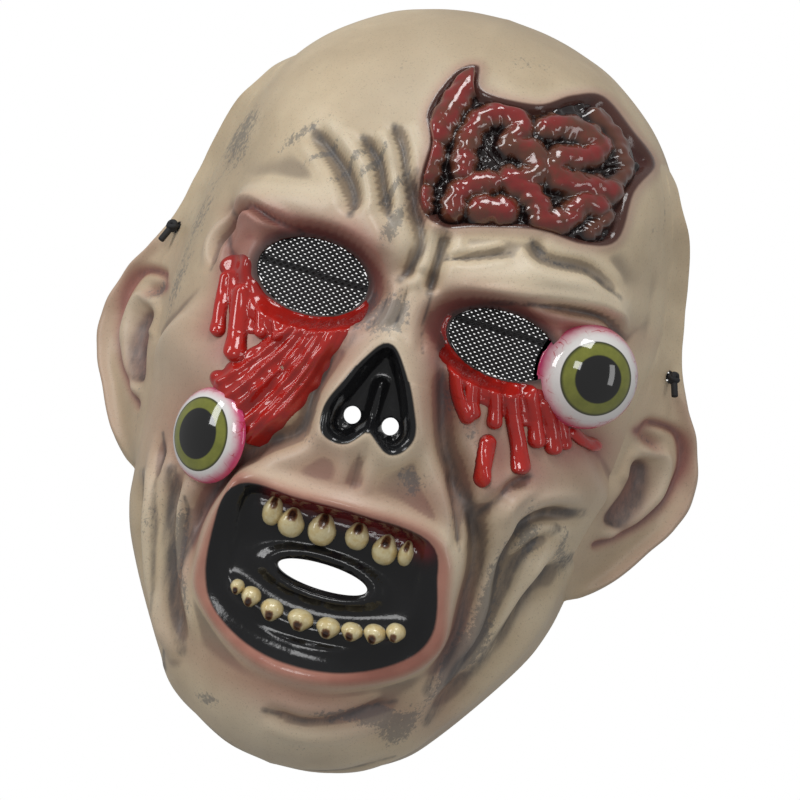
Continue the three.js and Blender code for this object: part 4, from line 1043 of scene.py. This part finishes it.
def window(field, reach, pick):
    """The lowest or highest value of a grid within reach cells."""
    for axis in (0, 1):
        field = pick.reduce([np.roll(field, k, axis) for k in range(-reach, reach + 1)])
    return field


def square_to_head(ab, columns, rows):
    """Where a square grid's vertices lie on the head: share of the reach, and turn."""
    a = np.interp((ab[:, 0] + 1) / 2 * (len(columns) - 1), range(len(columns)), columns)
    b = np.interp((ab[:, 1] + 1) / 2 * (len(rows) - 1), range(len(rows)), rows)
    u = a * np.sqrt(1 - b * b / 2)
    v = b * np.sqrt(1 - a * a / 2)
    share = np.sin(np.minimum(1, np.hypot(u, v)) * math.pi / 2)
    return share, np.arctan2(v, u)


def row_order(ab):
    """The order that lists a grid's vertices row by row."""
    return np.lexsort((np.round(ab[:, 0], 5), np.round(ab[:, 1], 5)))


def face_front(across, up):
    """The painted side, and its skin row by row for the side behind it."""
    columns = grid_lines(across, round(across * 0.82), -0.7, 0.72)
    rows = grid_lines(up, round(up * 0.92), -0.85, 0.8)
    obj, ab = grid("face_skin", across, up)
    skin = skin_at(*square_to_head(ab, columns, rows))
    put(obj, skin["at"])
    order = row_order(ab)
    cells = {name: v[order].reshape(up + 1, across + 1, *v.shape[1:]) for name, v in skin.items()}
    raised = cells["high"] + cells["deep"] * cells["normal"][..., 1]

    def paint_cells(name, values):
        flat = np.empty(len(ab))
        flat[order] = np.clip(values, 0, 1).ravel()
        paint(obj, name, flat)

    # Painted shade in the hollows and wide valleys of the relief, and painted highlights on its ridges, all
    # found from the relief itself
    paint_cells("hollow_shade", (blur(raised, 4) - raised) / (0.7 * MM))
    paint_cells("valley_shade", (blur(raised, 9) - raised) / (2.6 * MM))
    paint_cells("ridge", (raised - blur(raised, 5)) / (1.1 * MM))
    paint_skin(obj, skin["base"][:, 0], skin["base"][:, 2])
    return obj, cells


def face_back(cells):
    """The plain side: a wall behind the lowest skin nearby, on every second row and column."""
    high, deep = cells["high"], cells["deep"]
    low = window(high, 2, np.minimum)
    back = window(deep, 2, np.maximum)
    for rim in ((0, ...), (-1, ...), (..., 0), (..., -1)):
        low[rim] = high[rim]
        back[rim] = 0
    second = (slice(None, None, 2), slice(None, None, 2))
    base = cells["base"][second].reshape(-1, 3)
    normal = cells["normal"][second].reshape(-1, 3)
    at = base + normal * (low[second].ravel() - sizes().wall)[:, None]
    at[:, 1] += back[second].ravel()
    obj, ab = grid("inner", (high.shape[1] - 1) // 2, (high.shape[0] - 1) // 2)
    points = np.empty_like(at)
    points[row_order(ab)] = at
    put(obj, points)
    edit(obj, bpy.ops.mesh.flip_normals)
    paint_back(obj, points[:, 0], points[:, 2])
    return obj


def close_rim(obj):
    """Bridge the open edges of the two sides."""
    open_edges = dict(use_wire=False, use_multi_face=False, use_non_contiguous=False, use_verts=False)
    edit(
        obj,
        lambda: bpy.ops.mesh.select_all(action="DESELECT"),
        lambda: bpy.ops.mesh.select_mode(type="EDGE"),
        lambda: bpy.ops.mesh.select_non_manifold(extend=False, use_boundary=True, **open_edges),
        bpy.ops.mesh.bridge_edge_loops,
        lambda: bpy.ops.mesh.select_all(action="SELECT"),
        lambda: bpy.ops.mesh.normals_make_consistent(inside=False),
        lambda: bpy.ops.mesh.select_mode(type="VERT"),
    )


def eye_cutter(ex, ez, tilt, tall):
    alone()
    bpy.ops.mesh.primitive_cylinder_add(vertices=128, radius=1, depth=1)
    cutter = bpy.context.object
    t = math.radians(tilt)
    wide, high = EYE_RX, EYE_RZ * tall
    cutter.matrix_world = Matrix((
        (wide * math.cos(t), -high * math.sin(t), 0, ex * HALF_W),
        (0, 0, -0.05, EYE_PLANE),
        (wide * math.sin(t), high * math.cos(t), 0, ez * HALF_W),
        (0, 0, 0, 1),
    ))
    return settle(cutter)


def face_skin():
    front, cells = face_front(250, 300)
    obj = join([front, face_back(cells)], "face_skin")
    close_rim(obj)
    for place in EYES.values():
        cut(obj, eye_cutter(*place))
    slot_y = float(skin_over(np.array([SLOT_X]), np.array([SLOT_Z]))["at"][0, 1])
    cut(obj, rod_cutter(17 * MM, 4.6 * MM, (SLOT_X, slot_y, SLOT_Z), (0, 1, 0), 0.045))
    for x in NOSTRILS:
        at = (x * HALF_W, -0.1, NOSTRIL_Z * HALF_W)
        cut(obj, rod_cutter(NOSTRIL_R, NOSTRIL_R, at, (0, 1, 0), 0.08, 48))
    shade(obj, skin_material())
    return hand_over(obj, "face_shell")


EAR_LINE = curve_through([(edge, z) for z, edge in EAR], per=10)

# The web's top and the ear's lower end, and where on the half width the web leaves the head
WEB_TOP = 0.88
EAR_END = EAR[-1][0] - 0.02
WEB_ROOT = 0.955


def hermite(t, a, b, way_a, way_b):
    """Points of the curve from a to b that leaves and arrives along two ways, and its direction there."""
    p = (2 * t**3 - 3 * t**2 + 1) * a + (t**3 - 2 * t**2 + t) * way_a
    p += (3 * t**2 - 2 * t**3) * b + (t**3 - t**2) * way_b
    go = (6 * t**2 - 6 * t) * a + (3 * t**2 - 4 * t + 1) * way_a
    go += (6 * t - 6 * t**2) * b + (3 * t**2 - 2 * t) * way_b
    return p, go / np.linalg.norm(go, axis=1, keepdims=True)


def web_line(side, u, z):
    """The web at each height, from along the head out to the ear's edge; its top end lies on the head."""
    s = z / HALF_W
    width = width_at(z)
    reach = np.interp(-z, -EAR_LINE[:, 1], EAR_LINE[:, 0])
    out = np.maximum(0, reach - width) * smooth((WEB_TOP - s) / 0.12) * smooth((s + 0.98) / 0.05)
    tip = width - 0.6 * MM * smooth((s - 0.7) / 0.1) + out
    head = skin_over(side * WEB_ROOT * width, z)
    x, y = side * head["at"][:, 0], head["at"][:, 1]
    nx, ny = side * head["normal"][:, 0], head["normal"][:, 1]
    leave = np.stack([-ny, nx], -1) / np.hypot(nx, ny)[:, None]
    stands = smooth((0.86 - s) / 0.3)
    back = stands * (tip - HALF_W) + (1 - stands) * 2 * MM
    arrive = math.sqrt(0.5) * stands[:, None] + np.array((0.05, 1.0)) * (1 - stands)[:, None]
    far = np.hypot(tip - x, tip - HALF_W - y)[:, None] * 0.9
    root, edge = np.stack([x, y], -1), np.stack([tip, back], -1)
    p, go = hermite(u[:, None], root, edge, far * leave, far * arrive)
    return p, np.stack([go[:, 1], -go[:, 0]], -1), width, tip


def ear(side):
    obj, ab = grid(f"ear_{'left' if side < 0 else 'right'}", 90, 190)
    u = (ab[:, 0] + 1) / 2
    s = WEB_TOP + (EAR_END - WEB_TOP) * (1 - ab[:, 1]) / 2
    z = s * HALF_W
    p, facing, width, tip = web_line(side, u, z)
    w = np.clip((p[:, 0] - width + 1.4 * MM) / np.maximum(tip - width + 1.4 * MM, MM), 0, 1)
    is_ear = smooth((0.06 - s) / 0.16) * smooth((s + 0.97) / 0.16)
    from_edge = tip - p[:, 0] - 2 * MM
    rise = 3.2 * MM * bell(from_edge / (2.4 * MM))
    fold = {}
    for name, (high, spread, points) in EAR_FOLDS.items():
        fold[name] = bell(nearest(curve_through(points), p[:, 0], z, 0.02)[0] / (spread * FOLD_WIDTH))
        rise += high * FOLD_DEPTH * fold[name]
    rise = rise * is_ear * np.where(rise < 0, smooth((w - 0.04) / 0.22), smooth(w / 0.06))
    rise += 0.25 * MM * ripple(p[:, 0], p[:, 0], z, 16 * MM, 9) * smooth(w / 0.1)
    rise -= 0.2 * MM * smooth((0.12 - u) / 0.1)
    put(obj, np.stack([side * (p[:, 0] + rise * facing[:, 0]), p[:, 1] + rise * facing[:, 1], z], -1))
    if side < 0:
        edit(obj, bpy.ops.mesh.flip_normals)
    laid = ("groove", "concha", "fossa", "inner fold")
    groove, concha, fossa, inner = (is_ear * fold[name] for name in laid)
    helix = is_ear * bell(from_edge / (3 * MM))
    fleck = 0.35 * bell((w - 0.2) / 0.12) * smooth((0.3 - s) / 0.2) * (side < 0)
    flush = is_ear * (0.9 * groove + 0.6 * fossa + 0.5 * concha + 0.3 * helix + 0.12)
    # Painted highlights on the inner fold and the helix; painted shade in the concha, fossa and groove;
    # grey-blue flecks with painted shade in the fossa
    paints = {
        "flush": np.clip(flush, 0, 1),
        "fold_paint_and_shade": np.clip(fleck + 0.5 * fossa, 0, 1),
        "painted_highlight": 0.7 * inner,
        "ridge": 0.5 * np.maximum(inner, is_ear * helix),
        "valley_shade": np.clip(concha + fossa, 0, 1),
        "hollow_shade": np.clip(smooth(1.6 * concha) + 0.55 * groove, 0, 1),
        "furrow": 0.8 - 0.7 * np.clip(smooth(1.8 * concha - 0.3) + 0.7 * groove, 0, 1),
        **dict.fromkeys(("lips", "mouth", "nose", "wound", "eyes"), np.full(len(w), FAR_OFF)),
    }
    for name, values in paints.items():
        paint(obj, name, values)
    thicken(obj, SHEET)
    cut(obj, rod_cutter(STRAP_HOLE_R, STRAP_HOLE_R, (side * HALF_W, 0, 0), (side, -1, 0), 0.02, 32))
    shade(obj, bpy.data.materials["moulded_skin"])
    return hand_over(obj)


def shell_patch(name, low, high, cells, height, floor):
    """A solid patch that stands up from the skin; what stays on its floor is left out."""
    obj, ab = grid(name, *cells)
    x, z = ((low[k] + (high[k] - low[k]) * (ab[:, k] + 1) / 2) * HALF_W for k in (0, 1))
    foot, normal, rise, crest = height(x, z)
    put(obj, foot + normal * rise[:, None])
    paint(obj, "crest", crest)
    drop_vertices(obj, rise < floor + 0.05 * MM)
    thicken(obj, GORE_WALL)
    return obj


def brain_height(x, z):
    turn = np.arctan2(z - CENTRE_Z, x)
    share = np.minimum(0.98, np.hypot(x, z - CENTRE_Z) / reach_at(turn))
    foot, normal = head_point(share, turn), head_normal(share, turn)
    seen_x = foot[:, 0] + 2.5 * MM * normal[:, 0]
    seen_z = foot[:, 2] + 2.5 * MM * normal[:, 2] + BRAIN_DROP
    lobe = np.zeros(x.shape)
    for size, points in LOBES.values():
        line = curve_through(points)
        r = size * LOBE_R
        far, along = nearest(line, seen_x, seen_z, 0.02)
        wave = 1 + 0.1 * np.sin(along * len(line) * 1.3 + r * 4000)
        tube = np.cos(np.clip(far / (1.4 * r * wave), 0, 1) * math.pi / 2)
        lobe = np.maximum(lobe, size * tube**0.8)
    grain = 0.8 * MM * ripple(seen_x, 0 * x, seen_z, 3.6 * MM, 21)
    swell = 1.5 * MM + 1.2 * LOBE_R * lobe + grain * (1.2 - lobe)
    within = smooth(-signed(WOUND_LINE, seen_x, seen_z) / (2.5 * MM))
    return foot, normal, within * swell - BRAIN_SUNK, np.clip(lobe, 0, 1)


def brain_piece():
    obj = shell_patch("brain", (-0.17, 0.25), (0.76, 0.98), (190, 170), brain_height, -BRAIN_SUNK)
    shade(obj, brain_material())
    return hand_over(obj)


def gore_height(side, x, z):
    """Drips, the films that they run from and, on the left, the nerve strands."""
    skin = skin_where(x, z)
    rise = np.full(x.shape, -GORE_SUNK)
    crest = np.zeros(x.shape)
    for size, line in GORE_LINES[side]:
        r = size * DRIP_R
        far, along = nearest(line, x, z, 0.02)
        drop = 0.9 + 0.18 * smooth((along - 0.7) / 0.3)
        tube = np.sqrt(np.clip(1 - (far / (1.15 * r * drop)) ** 2, 0, 1))
        level = GORE_SUNK * (smooth((1.6 * r - far) / (0.8 * r)) - 1) + 1.25 * r * tube * drop
        rise = np.maximum(rise, level)
        crest = np.maximum(crest, tube)
    nerves = NERVE_LINES if side == "left" else []
    lumps = 0.5 * MM * ripple(x, 0 * x, z, 6 * MM, 33)
    films = [(FILM_LINES[side], 8.5 * MM, 2.5 * MM)]
    films += [(line, 7 * MM, 2.2 * MM) for line in (UNDER_LINES[side], *nerves)]
    for line, wide, thick in films:
        film = smooth((wide + 1.6 * lumps - nearest(line, x, z, 0.03)[0]) / (5 * MM))
        rise = np.maximum(rise, film * (thick + lumps) - GORE_SUNK)
        crest = np.maximum(crest, 0.5 * film)
    for line in nerves:
        far, along = nearest(line, x, z, 0.01)
        thread = bell(far / (1.15 * MM * (1 + 0.3 * np.sin(along * 9))))
        beside = nearest(line + (1.0 * MM, 1.4 * MM), x, z, 0.01)[0]
        thread = np.maximum(thread, 0.6 * bell(beside / (0.7 * MM)))
        rise = rise + 1.4 * MM * thread * (rise > 0)
        crest = np.maximum(crest, thread)
    for name in EYES:
        rise = rise - 4 * MM * smooth((1.06 - eye_share(name, x, z)) / 0.06)
    return skin["at"], skin["normal"], rise, crest


def gore_piece(side):
    low, high = GORE_FRAMES[side]
    obj = shell_patch(f"gore_{side}", low, high, (170, 180), lambda x, z: gore_height(side, x, z), -GORE_SUNK)
    shade(obj, bpy.data.materials.get("wet_gore") or gore_material())
    return hand_over(obj)


def tooth(x, z, wide, tall, way):
    """One tooth: round at its crown, narrower and stained at its root, which lies along way."""
    alone()
    bpy.ops.mesh.primitive_uv_sphere_add(segments=32, ring_count=20, radius=1)
    obj = bpy.context.object
    p = points_of(obj)
    up = way * p[:, 2]
    squeeze = 1 - 0.32 * smooth((up + 0.1) / 1.1)
    boxy = np.sign(p[:, 0]) * np.abs(p[:, 0]) ** 0.85
    deep = np.where(p[:, 1] < 0, 6, 1.6) * MM
    q = np.stack([1.06 * boxy * wide * HALF_W * squeeze, p[:, 1] * deep, 1.06 * p[:, 2] * tall * HALF_W], -1)
    q += np.array((x * HALF_W, MOUTH_FLOOR - 2.4 * MM, z * HALF_W))
    q[:, 1] -= 0.25 * MM * ripple(q[:, 0], q[:, 1], q[:, 2], 5 * MM, int(1000 + x * 900))
    put(obj, q)
    paint(obj, "root", smooth(1.3 - np.hypot(p[:, 0] / 0.5, (up - 0.5) / 0.62)))
    return obj


def teeth_piece():
    made = [tooth(*row, 1) for row in TEETH["upper"]] + [tooth(*row, -1) for row in TEETH["lower"]]
    obj = join(made, "teeth")
    shade(obj, tooth_material())
    return hand_over(obj)


def eyeball(side):
    ball = BALLS[side]
    at = skin_over(np.array([ball["x"] * HALF_W]), np.array([ball["z"] * HALF_W]))["at"][0]
    turn, lean = math.radians(ball["turn"]), math.radians(ball["lean"])
    axis = np.array((math.sin(turn) * math.cos(lean), -math.cos(turn) * math.cos(lean), math.sin(lean)))
    alone()
    bpy.ops.mesh.primitive_uv_sphere_add(segments=96, ring_count=64, radius=1)
    obj = bpy.context.object
    obj.name = f"eyeball_{side}_glossy"
    p = points_of(obj)
    q = p.copy()
    q[:, :2] *= ball["radius"]
    q[:, 2] = 1 * MM + np.where(p[:, 2] > 0, ball["high"], 1 * MM) * p[:, 2]
    q = q @ np.array(Vector(axis).to_track_quat("Z", "Y").to_matrix()).T + at + axis * ball["out"]
    q[:, 1] = np.minimum(q[:, 1], skin_over(q[:, 0], q[:, 2])["at"][:, 1] + 1.2 * MM)
    put(obj, q)
    paint(obj, "polar", np.degrees(np.arccos(np.clip(p[:, 2], -1, 1))))
    shade(obj, eye_material(ball["iris"], ball["pupil"], side))
    return hand_over(obj, f"eyeball_{side}")


def eye_net(side):
    """A wire net of slanting cells, cut to the oval of its eye hole and laid behind it."""
    ex, ez, tilt, tall = EYES[side]
    obj, ab = grid(f"eye_net_{side}", *NET_CELLS)
    a, b = ab[:, 0] * NET_CELLS[0] / 2, ab[:, 1] * NET_CELLS[1] / 2
    x, z = (a - b) * NET_PITCH * 0.62, (a + b) * NET_PITCH * 0.5
    put(obj, np.stack([x, 0 * x, z], -1))
    drop_vertices(obj, np.hypot(x / (EYE_RX + 1.2 * MM), z / (EYE_RZ * tall + 1.2 * MM)) >= 1)
    apply(obj, "WIREFRAME", thickness=sizes().strand, use_even_offset=False, use_replace=True)
    p = points_of(obj)
    t = math.radians(tilt)
    x = p[:, 0] * math.cos(t) - p[:, 2] * math.sin(t) + ex * HALF_W
    z = p[:, 0] * math.sin(t) + p[:, 2] * math.cos(t) + ez * HALF_W
    put(obj, np.stack([x, p[:, 1] + EYE_PLANE + 2 * MM, z], -1))
    shade(obj, bpy.data.materials.get("black_net") or plain_material("black_net", (0.02, 0.02, 0.022), 0.6))
    return hand_over(obj, f"eye_mesh_{side}")


def web_way(side):
    """The way out through a strap hole."""
    return np.array((side, -1.0, 0.0)) / math.sqrt(2)


def strap_side(side):
    hole = np.array((side * HALF_W, 0, 0))
    ends = [hole + web_way(side) * (SHEET / 2 + 0.1 * MM), hole - web_way(side) * 2.2 * MM]
    return ends + [np.array((side * x * HALF_W, y * STRAP_BACK, 0)) for x, y in STRAP_HALF]


def strap_route():
    return strap_side(-1) + [np.array((0.0, STRAP_BACK, 0.0))] + strap_side(1)[::-1]


def centripetal(points, count):
    """Evenly spaced points on a smooth line through the cord's route, and its length."""
    p = [2 * points[0] - points[1]] + points + [2 * points[-1] - points[-2]]
    line = []
    for i in range(1, len(p) - 2):
        t = [0.0]
        for a, b in zip(p[i - 1 : i + 2], p[i : i + 3]):
            t.append(t[-1] + np.linalg.norm(b - a) ** 0.5)
        for u in np.linspace(t[1], t[2], 24, endpoint=False):
            a1 = (p[i - 1] * (t[1] - u) + p[i] * (u - t[0])) / (t[1] - t[0])
            a2 = (p[i] * (t[2] - u) + p[i + 1] * (u - t[1])) / (t[2] - t[1])
            a3 = (p[i + 1] * (t[3] - u) + p[i + 2] * (u - t[2])) / (t[3] - t[2])
            b1 = (a1 * (t[2] - u) + a2 * (u - t[0])) / (t[2] - t[0])
            b2 = (a2 * (t[3] - u) + a3 * (u - t[1])) / (t[3] - t[1])
            line.append((b1 * (t[2] - u) + b2 * (u - t[1])) / (t[2] - t[1]))
    line.append(points[-1])
    line = np.array(line)
    run = np.concatenate([[0], np.cumsum(np.linalg.norm(np.diff(line, axis=0), axis=1))])
    at = np.linspace(0, run[-1], count)
    return np.stack([np.interp(at, run, line[:, k]) for k in range(3)], -1), float(run[-1])


def strap_piece():
    line, length = centripetal(strap_route(), 700)
    last = len(line) - 1
    obj, ab = grid("elastic_cord", 16, last)
    go = np.gradient(line, axis=0)
    go /= np.linalg.norm(go, axis=1, keepdims=True)
    up = np.array((0.0, 0.0, 1.0))
    aside = np.cross(go, up)
    turn = (ab[:, 0] + 1) * math.pi
    k = np.rint((ab[:, 1] + 1) / 2 * last).astype(int)
    run = k * length / last / MM
    weave = 1 + 0.035 * np.sin(3 * turn + run * 2.4) + 0.035 * np.sin(3 * turn - run * 2.4)
    ring = np.cos(turn)[:, None] * aside[k] + np.sin(turn)[:, None] * up
    put(obj, line[k] + (0.97 * sizes().cord / 2 * weave)[:, None] * ring)
    edit(
        obj,
        lambda: bpy.ops.mesh.remove_doubles(threshold=1e-6),
        lambda: bpy.ops.mesh.fill_holes(sides=0),
        lambda: bpy.ops.mesh.normals_make_consistent(inside=False),
    )
    shade(obj, plain_material("woven_elastic", (0.016, 0.016, 0.018), 0.75))
    hand_over(obj, "strap_cord")
    path = [tuple(float(v) for v in p) for p in line[::7]]
    path[-1] = tuple(float(v) for v in line[-1])
    return obj, path, length


def knot_piece(side):
    at = np.array((side * HALF_W, 0, 0)) + web_way(side) * (SHEET / 2 + 0.6 * MM + KNOT_R)
    made = []
    for tilt in (0.0, 1.1, 2.1):
        alone()
        bpy.ops.mesh.primitive_torus_add(
            major_segments=40, minor_segments=14, major_radius=1.45 * MM, minor_radius=1.15 * MM)
        ring = bpy.context.object
        spin = Matrix.Rotation(side * 0.785, 4, "Z") @ Matrix.Rotation(tilt, 4, "Y")
        spin = spin @ Matrix.Rotation(0.5 * tilt + 0.4, 4, "X") @ Matrix.Diagonal((1.0, 0.9, 0.9, 1.0))
        ring.matrix_world = Matrix.Translation(at) @ spin
        made.append(settle(ring))
    tail = np.array((side * 2.4, -2.2, -6.5)) * MM
    length = float(np.linalg.norm(tail))
    alone()
    bpy.ops.mesh.primitive_cylinder_add(vertices=20, radius=sizes().cord / 2, depth=length)
    end = bpy.context.object
    aim = Vector(tail).to_track_quat("Z", "Y").to_matrix().to_4x4()
    end.matrix_world = Matrix.Translation(at + tail / 2) @ aim
    apply(settle(end), "BEVEL", width=0.35 * MM, segments=3)
    made.append(end)
    name = "left" if side < 0 else "right"
    obj = join(made, f"cord_knot_{name}")
    shade(obj, bpy.data.materials["woven_elastic"])
    return hand_over(obj, f"strap_knot_{name}")


def light(name, at, aim, size, power, tall=None):
    alone()
    bpy.ops.object.light_add(type="AREA", location=at)
    lamp = bpy.context.object
    lamp.name = name
    lamp.data.energy = power
    lamp.data.shape = "RECTANGLE"
    lamp.data.size = size
    lamp.data.size_y = tall or size
    lamp.rotation_euler = (Vector(aim) - Vector(at)).to_track_quat("-Z", "Y").to_euler()
    return lamp


# The camera: degrees round from the front and rolled, metres away, and the width it sees at the face
CAMERA_TURN = 5
CAMERA_ROLL = 17
CAMERA_FAR = 2.4
PICTURE_WIDE = 0.292
SENSOR = 36


def make_stage():
    lamps = [
        light("key", (-1.25, -0.75, 0.5), (0, 0, -0.03), 0.3, 7.5, 1.1),
        light("second", (1.35, -0.7, 0.35), (0, 0, -0.03), 0.3, 2.3, 0.9),
        light("top", (-0.1, -0.7, 1.5), (0, 0, 0), 0.6, 9),
        light("front", (-0.25, -1.9, 0.5), (0, 0, -0.03), 0.5, 5),
    ]
    world = bpy.data.worlds.new("white")
    bpy.context.scene.world = world
    world.use_nodes = True
    t = world.node_tree
    back = t.nodes["Background"]
    back.inputs["Color"].default_value = (0.9, 0.9, 0.9, 1)
    back.inputs["Strength"].default_value = 0.34
    white = t.nodes.new("ShaderNodeBackground")
    white.inputs["Color"].default_value = (1, 1, 1, 1)
    white.inputs["Strength"].default_value = 1.0
    path = t.nodes.new("ShaderNodeLightPath")
    swap = t.nodes.new("ShaderNodeMixShader")
    t.links.new(path.outputs["Is Camera Ray"], swap.inputs["Fac"])
    t.links.new(back.outputs[0], swap.inputs[1])
    t.links.new(white.outputs[0], swap.inputs[2])
    t.links.new(swap.outputs[0], t.nodes["World Output"].inputs["Surface"])

    turn = math.radians(CAMERA_TURN)
    roll = math.radians(CAMERA_ROLL)
    away = Vector((math.sin(turn), -math.cos(turn), 0))
    right = Vector((math.cos(turn), math.sin(turn), 0))
    rise = Vector((0, 0, 1))
    across = right * math.cos(roll) + rise * math.sin(roll)
    up = -right * math.sin(roll) + rise * math.cos(roll)
    aim = right * 0.0025 + rise * -0.0374
    alone()
    bpy.ops.object.camera_add(location=aim + away * CAMERA_FAR)
    cam = bpy.context.object
    turned = Matrix((across, up, away)).transposed().to_4x4()
    cam.matrix_world = Matrix.Translation(aim + away * CAMERA_FAR) @ turned
    cam.data.sensor_width = SENSOR
    cam.data.lens = SENSOR * (CAMERA_FAR - 0.05) / PICTURE_WIDE
    cam.data.clip_start = 0.05
    scene = bpy.context.scene
    scene.camera = cam
    scene.render.resolution_x = scene.render.resolution_y = 1200
    scene.view_settings.view_transform = "Standard"
    scene.view_settings.look = "None"


# The add-on: one operator a piece or group, in the order that main runs them

def tint(name, text, value):
    return bpy.props.FloatVectorProperty(
        name=name, description=text, default=value, size=3, subtype="COLOR", min=0.0, max=1.0)


class MASK_PG_sizes(bpy.types.PropertyGroup):
    wall: bpy.props.FloatProperty(
        name="Wall", description="Thickness of the moulded skin", default=0.0025, min=0.001, unit="LENGTH")
    cord: bpy.props.FloatProperty(
        name="Cord", description="Diameter of the elastic cord", default=0.0025, min=0.001, unit="LENGTH")
    strand: bpy.props.FloatProperty(
        name="Net strand", description="Width of a strand of the eye nets", default=0.0015, min=0.0004,
        unit="LENGTH")
    skin: tint("Skin", "Lightest colour of the painted skin", (0.7, 0.57, 0.39))
    gore: tint("Gore", "Colour of the wet gore", (0.47, 0.016, 0.01))
    brain: tint("Brain", "Colour of the brain's crests", (0.25, 0.02, 0.018))
    iris: tint("Iris", "Lightest colour of the irises", (0.3, 0.31, 0.05))


class MASK_OT_face(bpy.types.Operator):
    """Moulded face with its sockets, nose, lips and mouth"""
    bl_idname = "mask.face"
    bl_label = "Face"

    def execute(self, context):
        face_skin()
        return {"FINISHED"}


class MASK_OT_ears(bpy.types.Operator):
    """Webs and ears at both sides, with the strap holes"""
    bl_idname = "mask.ears"
    bl_label = "Ears"

    def execute(self, context):
        for side in (-1, 1):
            ear(side)
        return {"FINISHED"}


class MASK_OT_brain(bpy.types.Operator):
    """Brain in the open wound of the forehead"""
    bl_idname = "mask.brain"
    bl_label = "Brain"

    def execute(self, context):
        brain_piece()
        return {"FINISHED"}


class MASK_OT_gore(bpy.types.Operator):
    """Gore that runs from under each eye"""
    bl_idname = "mask.gore"
    bl_label = "Gore"

    def execute(self, context):
        for side in ("left", "right"):
            gore_piece(side)
        return {"FINISHED"}


class MASK_OT_teeth(bpy.types.Operator):
    """Two rows of stained teeth"""
    bl_idname = "mask.teeth"
    bl_label = "Teeth"

    def execute(self, context):
        teeth_piece()
        return {"FINISHED"}


class MASK_OT_eyes(bpy.types.Operator):
    """Two hanging eyeballs and the nets in the eye holes"""
    bl_idname = "mask.eyes"
    bl_label = "Eyes"

    def execute(self, context):
        for side in ("left", "right"):
            eyeball(side)
            eye_net(side)
        return {"FINISHED"}


class MASK_OT_strap(bpy.types.Operator):
    """Elastic cord round the back with a knot at each end"""
    bl_idname = "mask.strap"
    bl_label = "Strap"

    def execute(self, context):
        cord, path, length = strap_piece()
        knots = [knot_piece(side) for side in (-1, 1)]
        return {"FINISHED"}


class MASK_OT_stage(bpy.types.Operator):
    """Lights, white surroundings and the camera"""
    bl_idname = "mask.stage"
    bl_label = "Stage"

    def execute(self, context):
        make_stage()
        return {"FINISHED"}


class MASK_PT_panel(bpy.types.Panel):
    """Buttons for every piece"""
    bl_idname = "MASK_PT_panel"
    bl_label = "Monster Mask"
    bl_space_type = "VIEW_3D"
    bl_region_type = "UI"
    bl_category = "Mask"

    def draw(self, context):
        col = self.layout.column()
        for name in ("wall", "cord", "strand", "skin", "gore", "brain", "iris"):
            col.prop(context.scene.mask_sizes, name)
        for step_class in STEPS:
            col.operator(step_class.bl_idname)


STEPS = (
    MASK_OT_face, MASK_OT_ears, MASK_OT_brain, MASK_OT_gore,
    MASK_OT_teeth, MASK_OT_eyes, MASK_OT_strap, MASK_OT_stage,
)
CLASSES = (MASK_PG_sizes, *STEPS, MASK_PT_panel)


def register():
    for c in CLASSES:
        bpy.utils.register_class(c)
    bpy.types.Scene.mask_sizes = bpy.props.PointerProperty(type=MASK_PG_sizes)


def unregister():
    del bpy.types.Scene.mask_sizes
    for c in reversed(CLASSES):
        bpy.utils.unregister_class(c)


def main():
    register()
    bpy.ops.mask.face()
    bpy.ops.mask.ears()
    bpy.ops.mask.brain()
    bpy.ops.mask.gore()
    bpy.ops.mask.teeth()
    bpy.ops.mask.eyes()
    bpy.ops.mask.strap()
    bpy.ops.mask.stage()


if __name__ == "__main__":
    main()
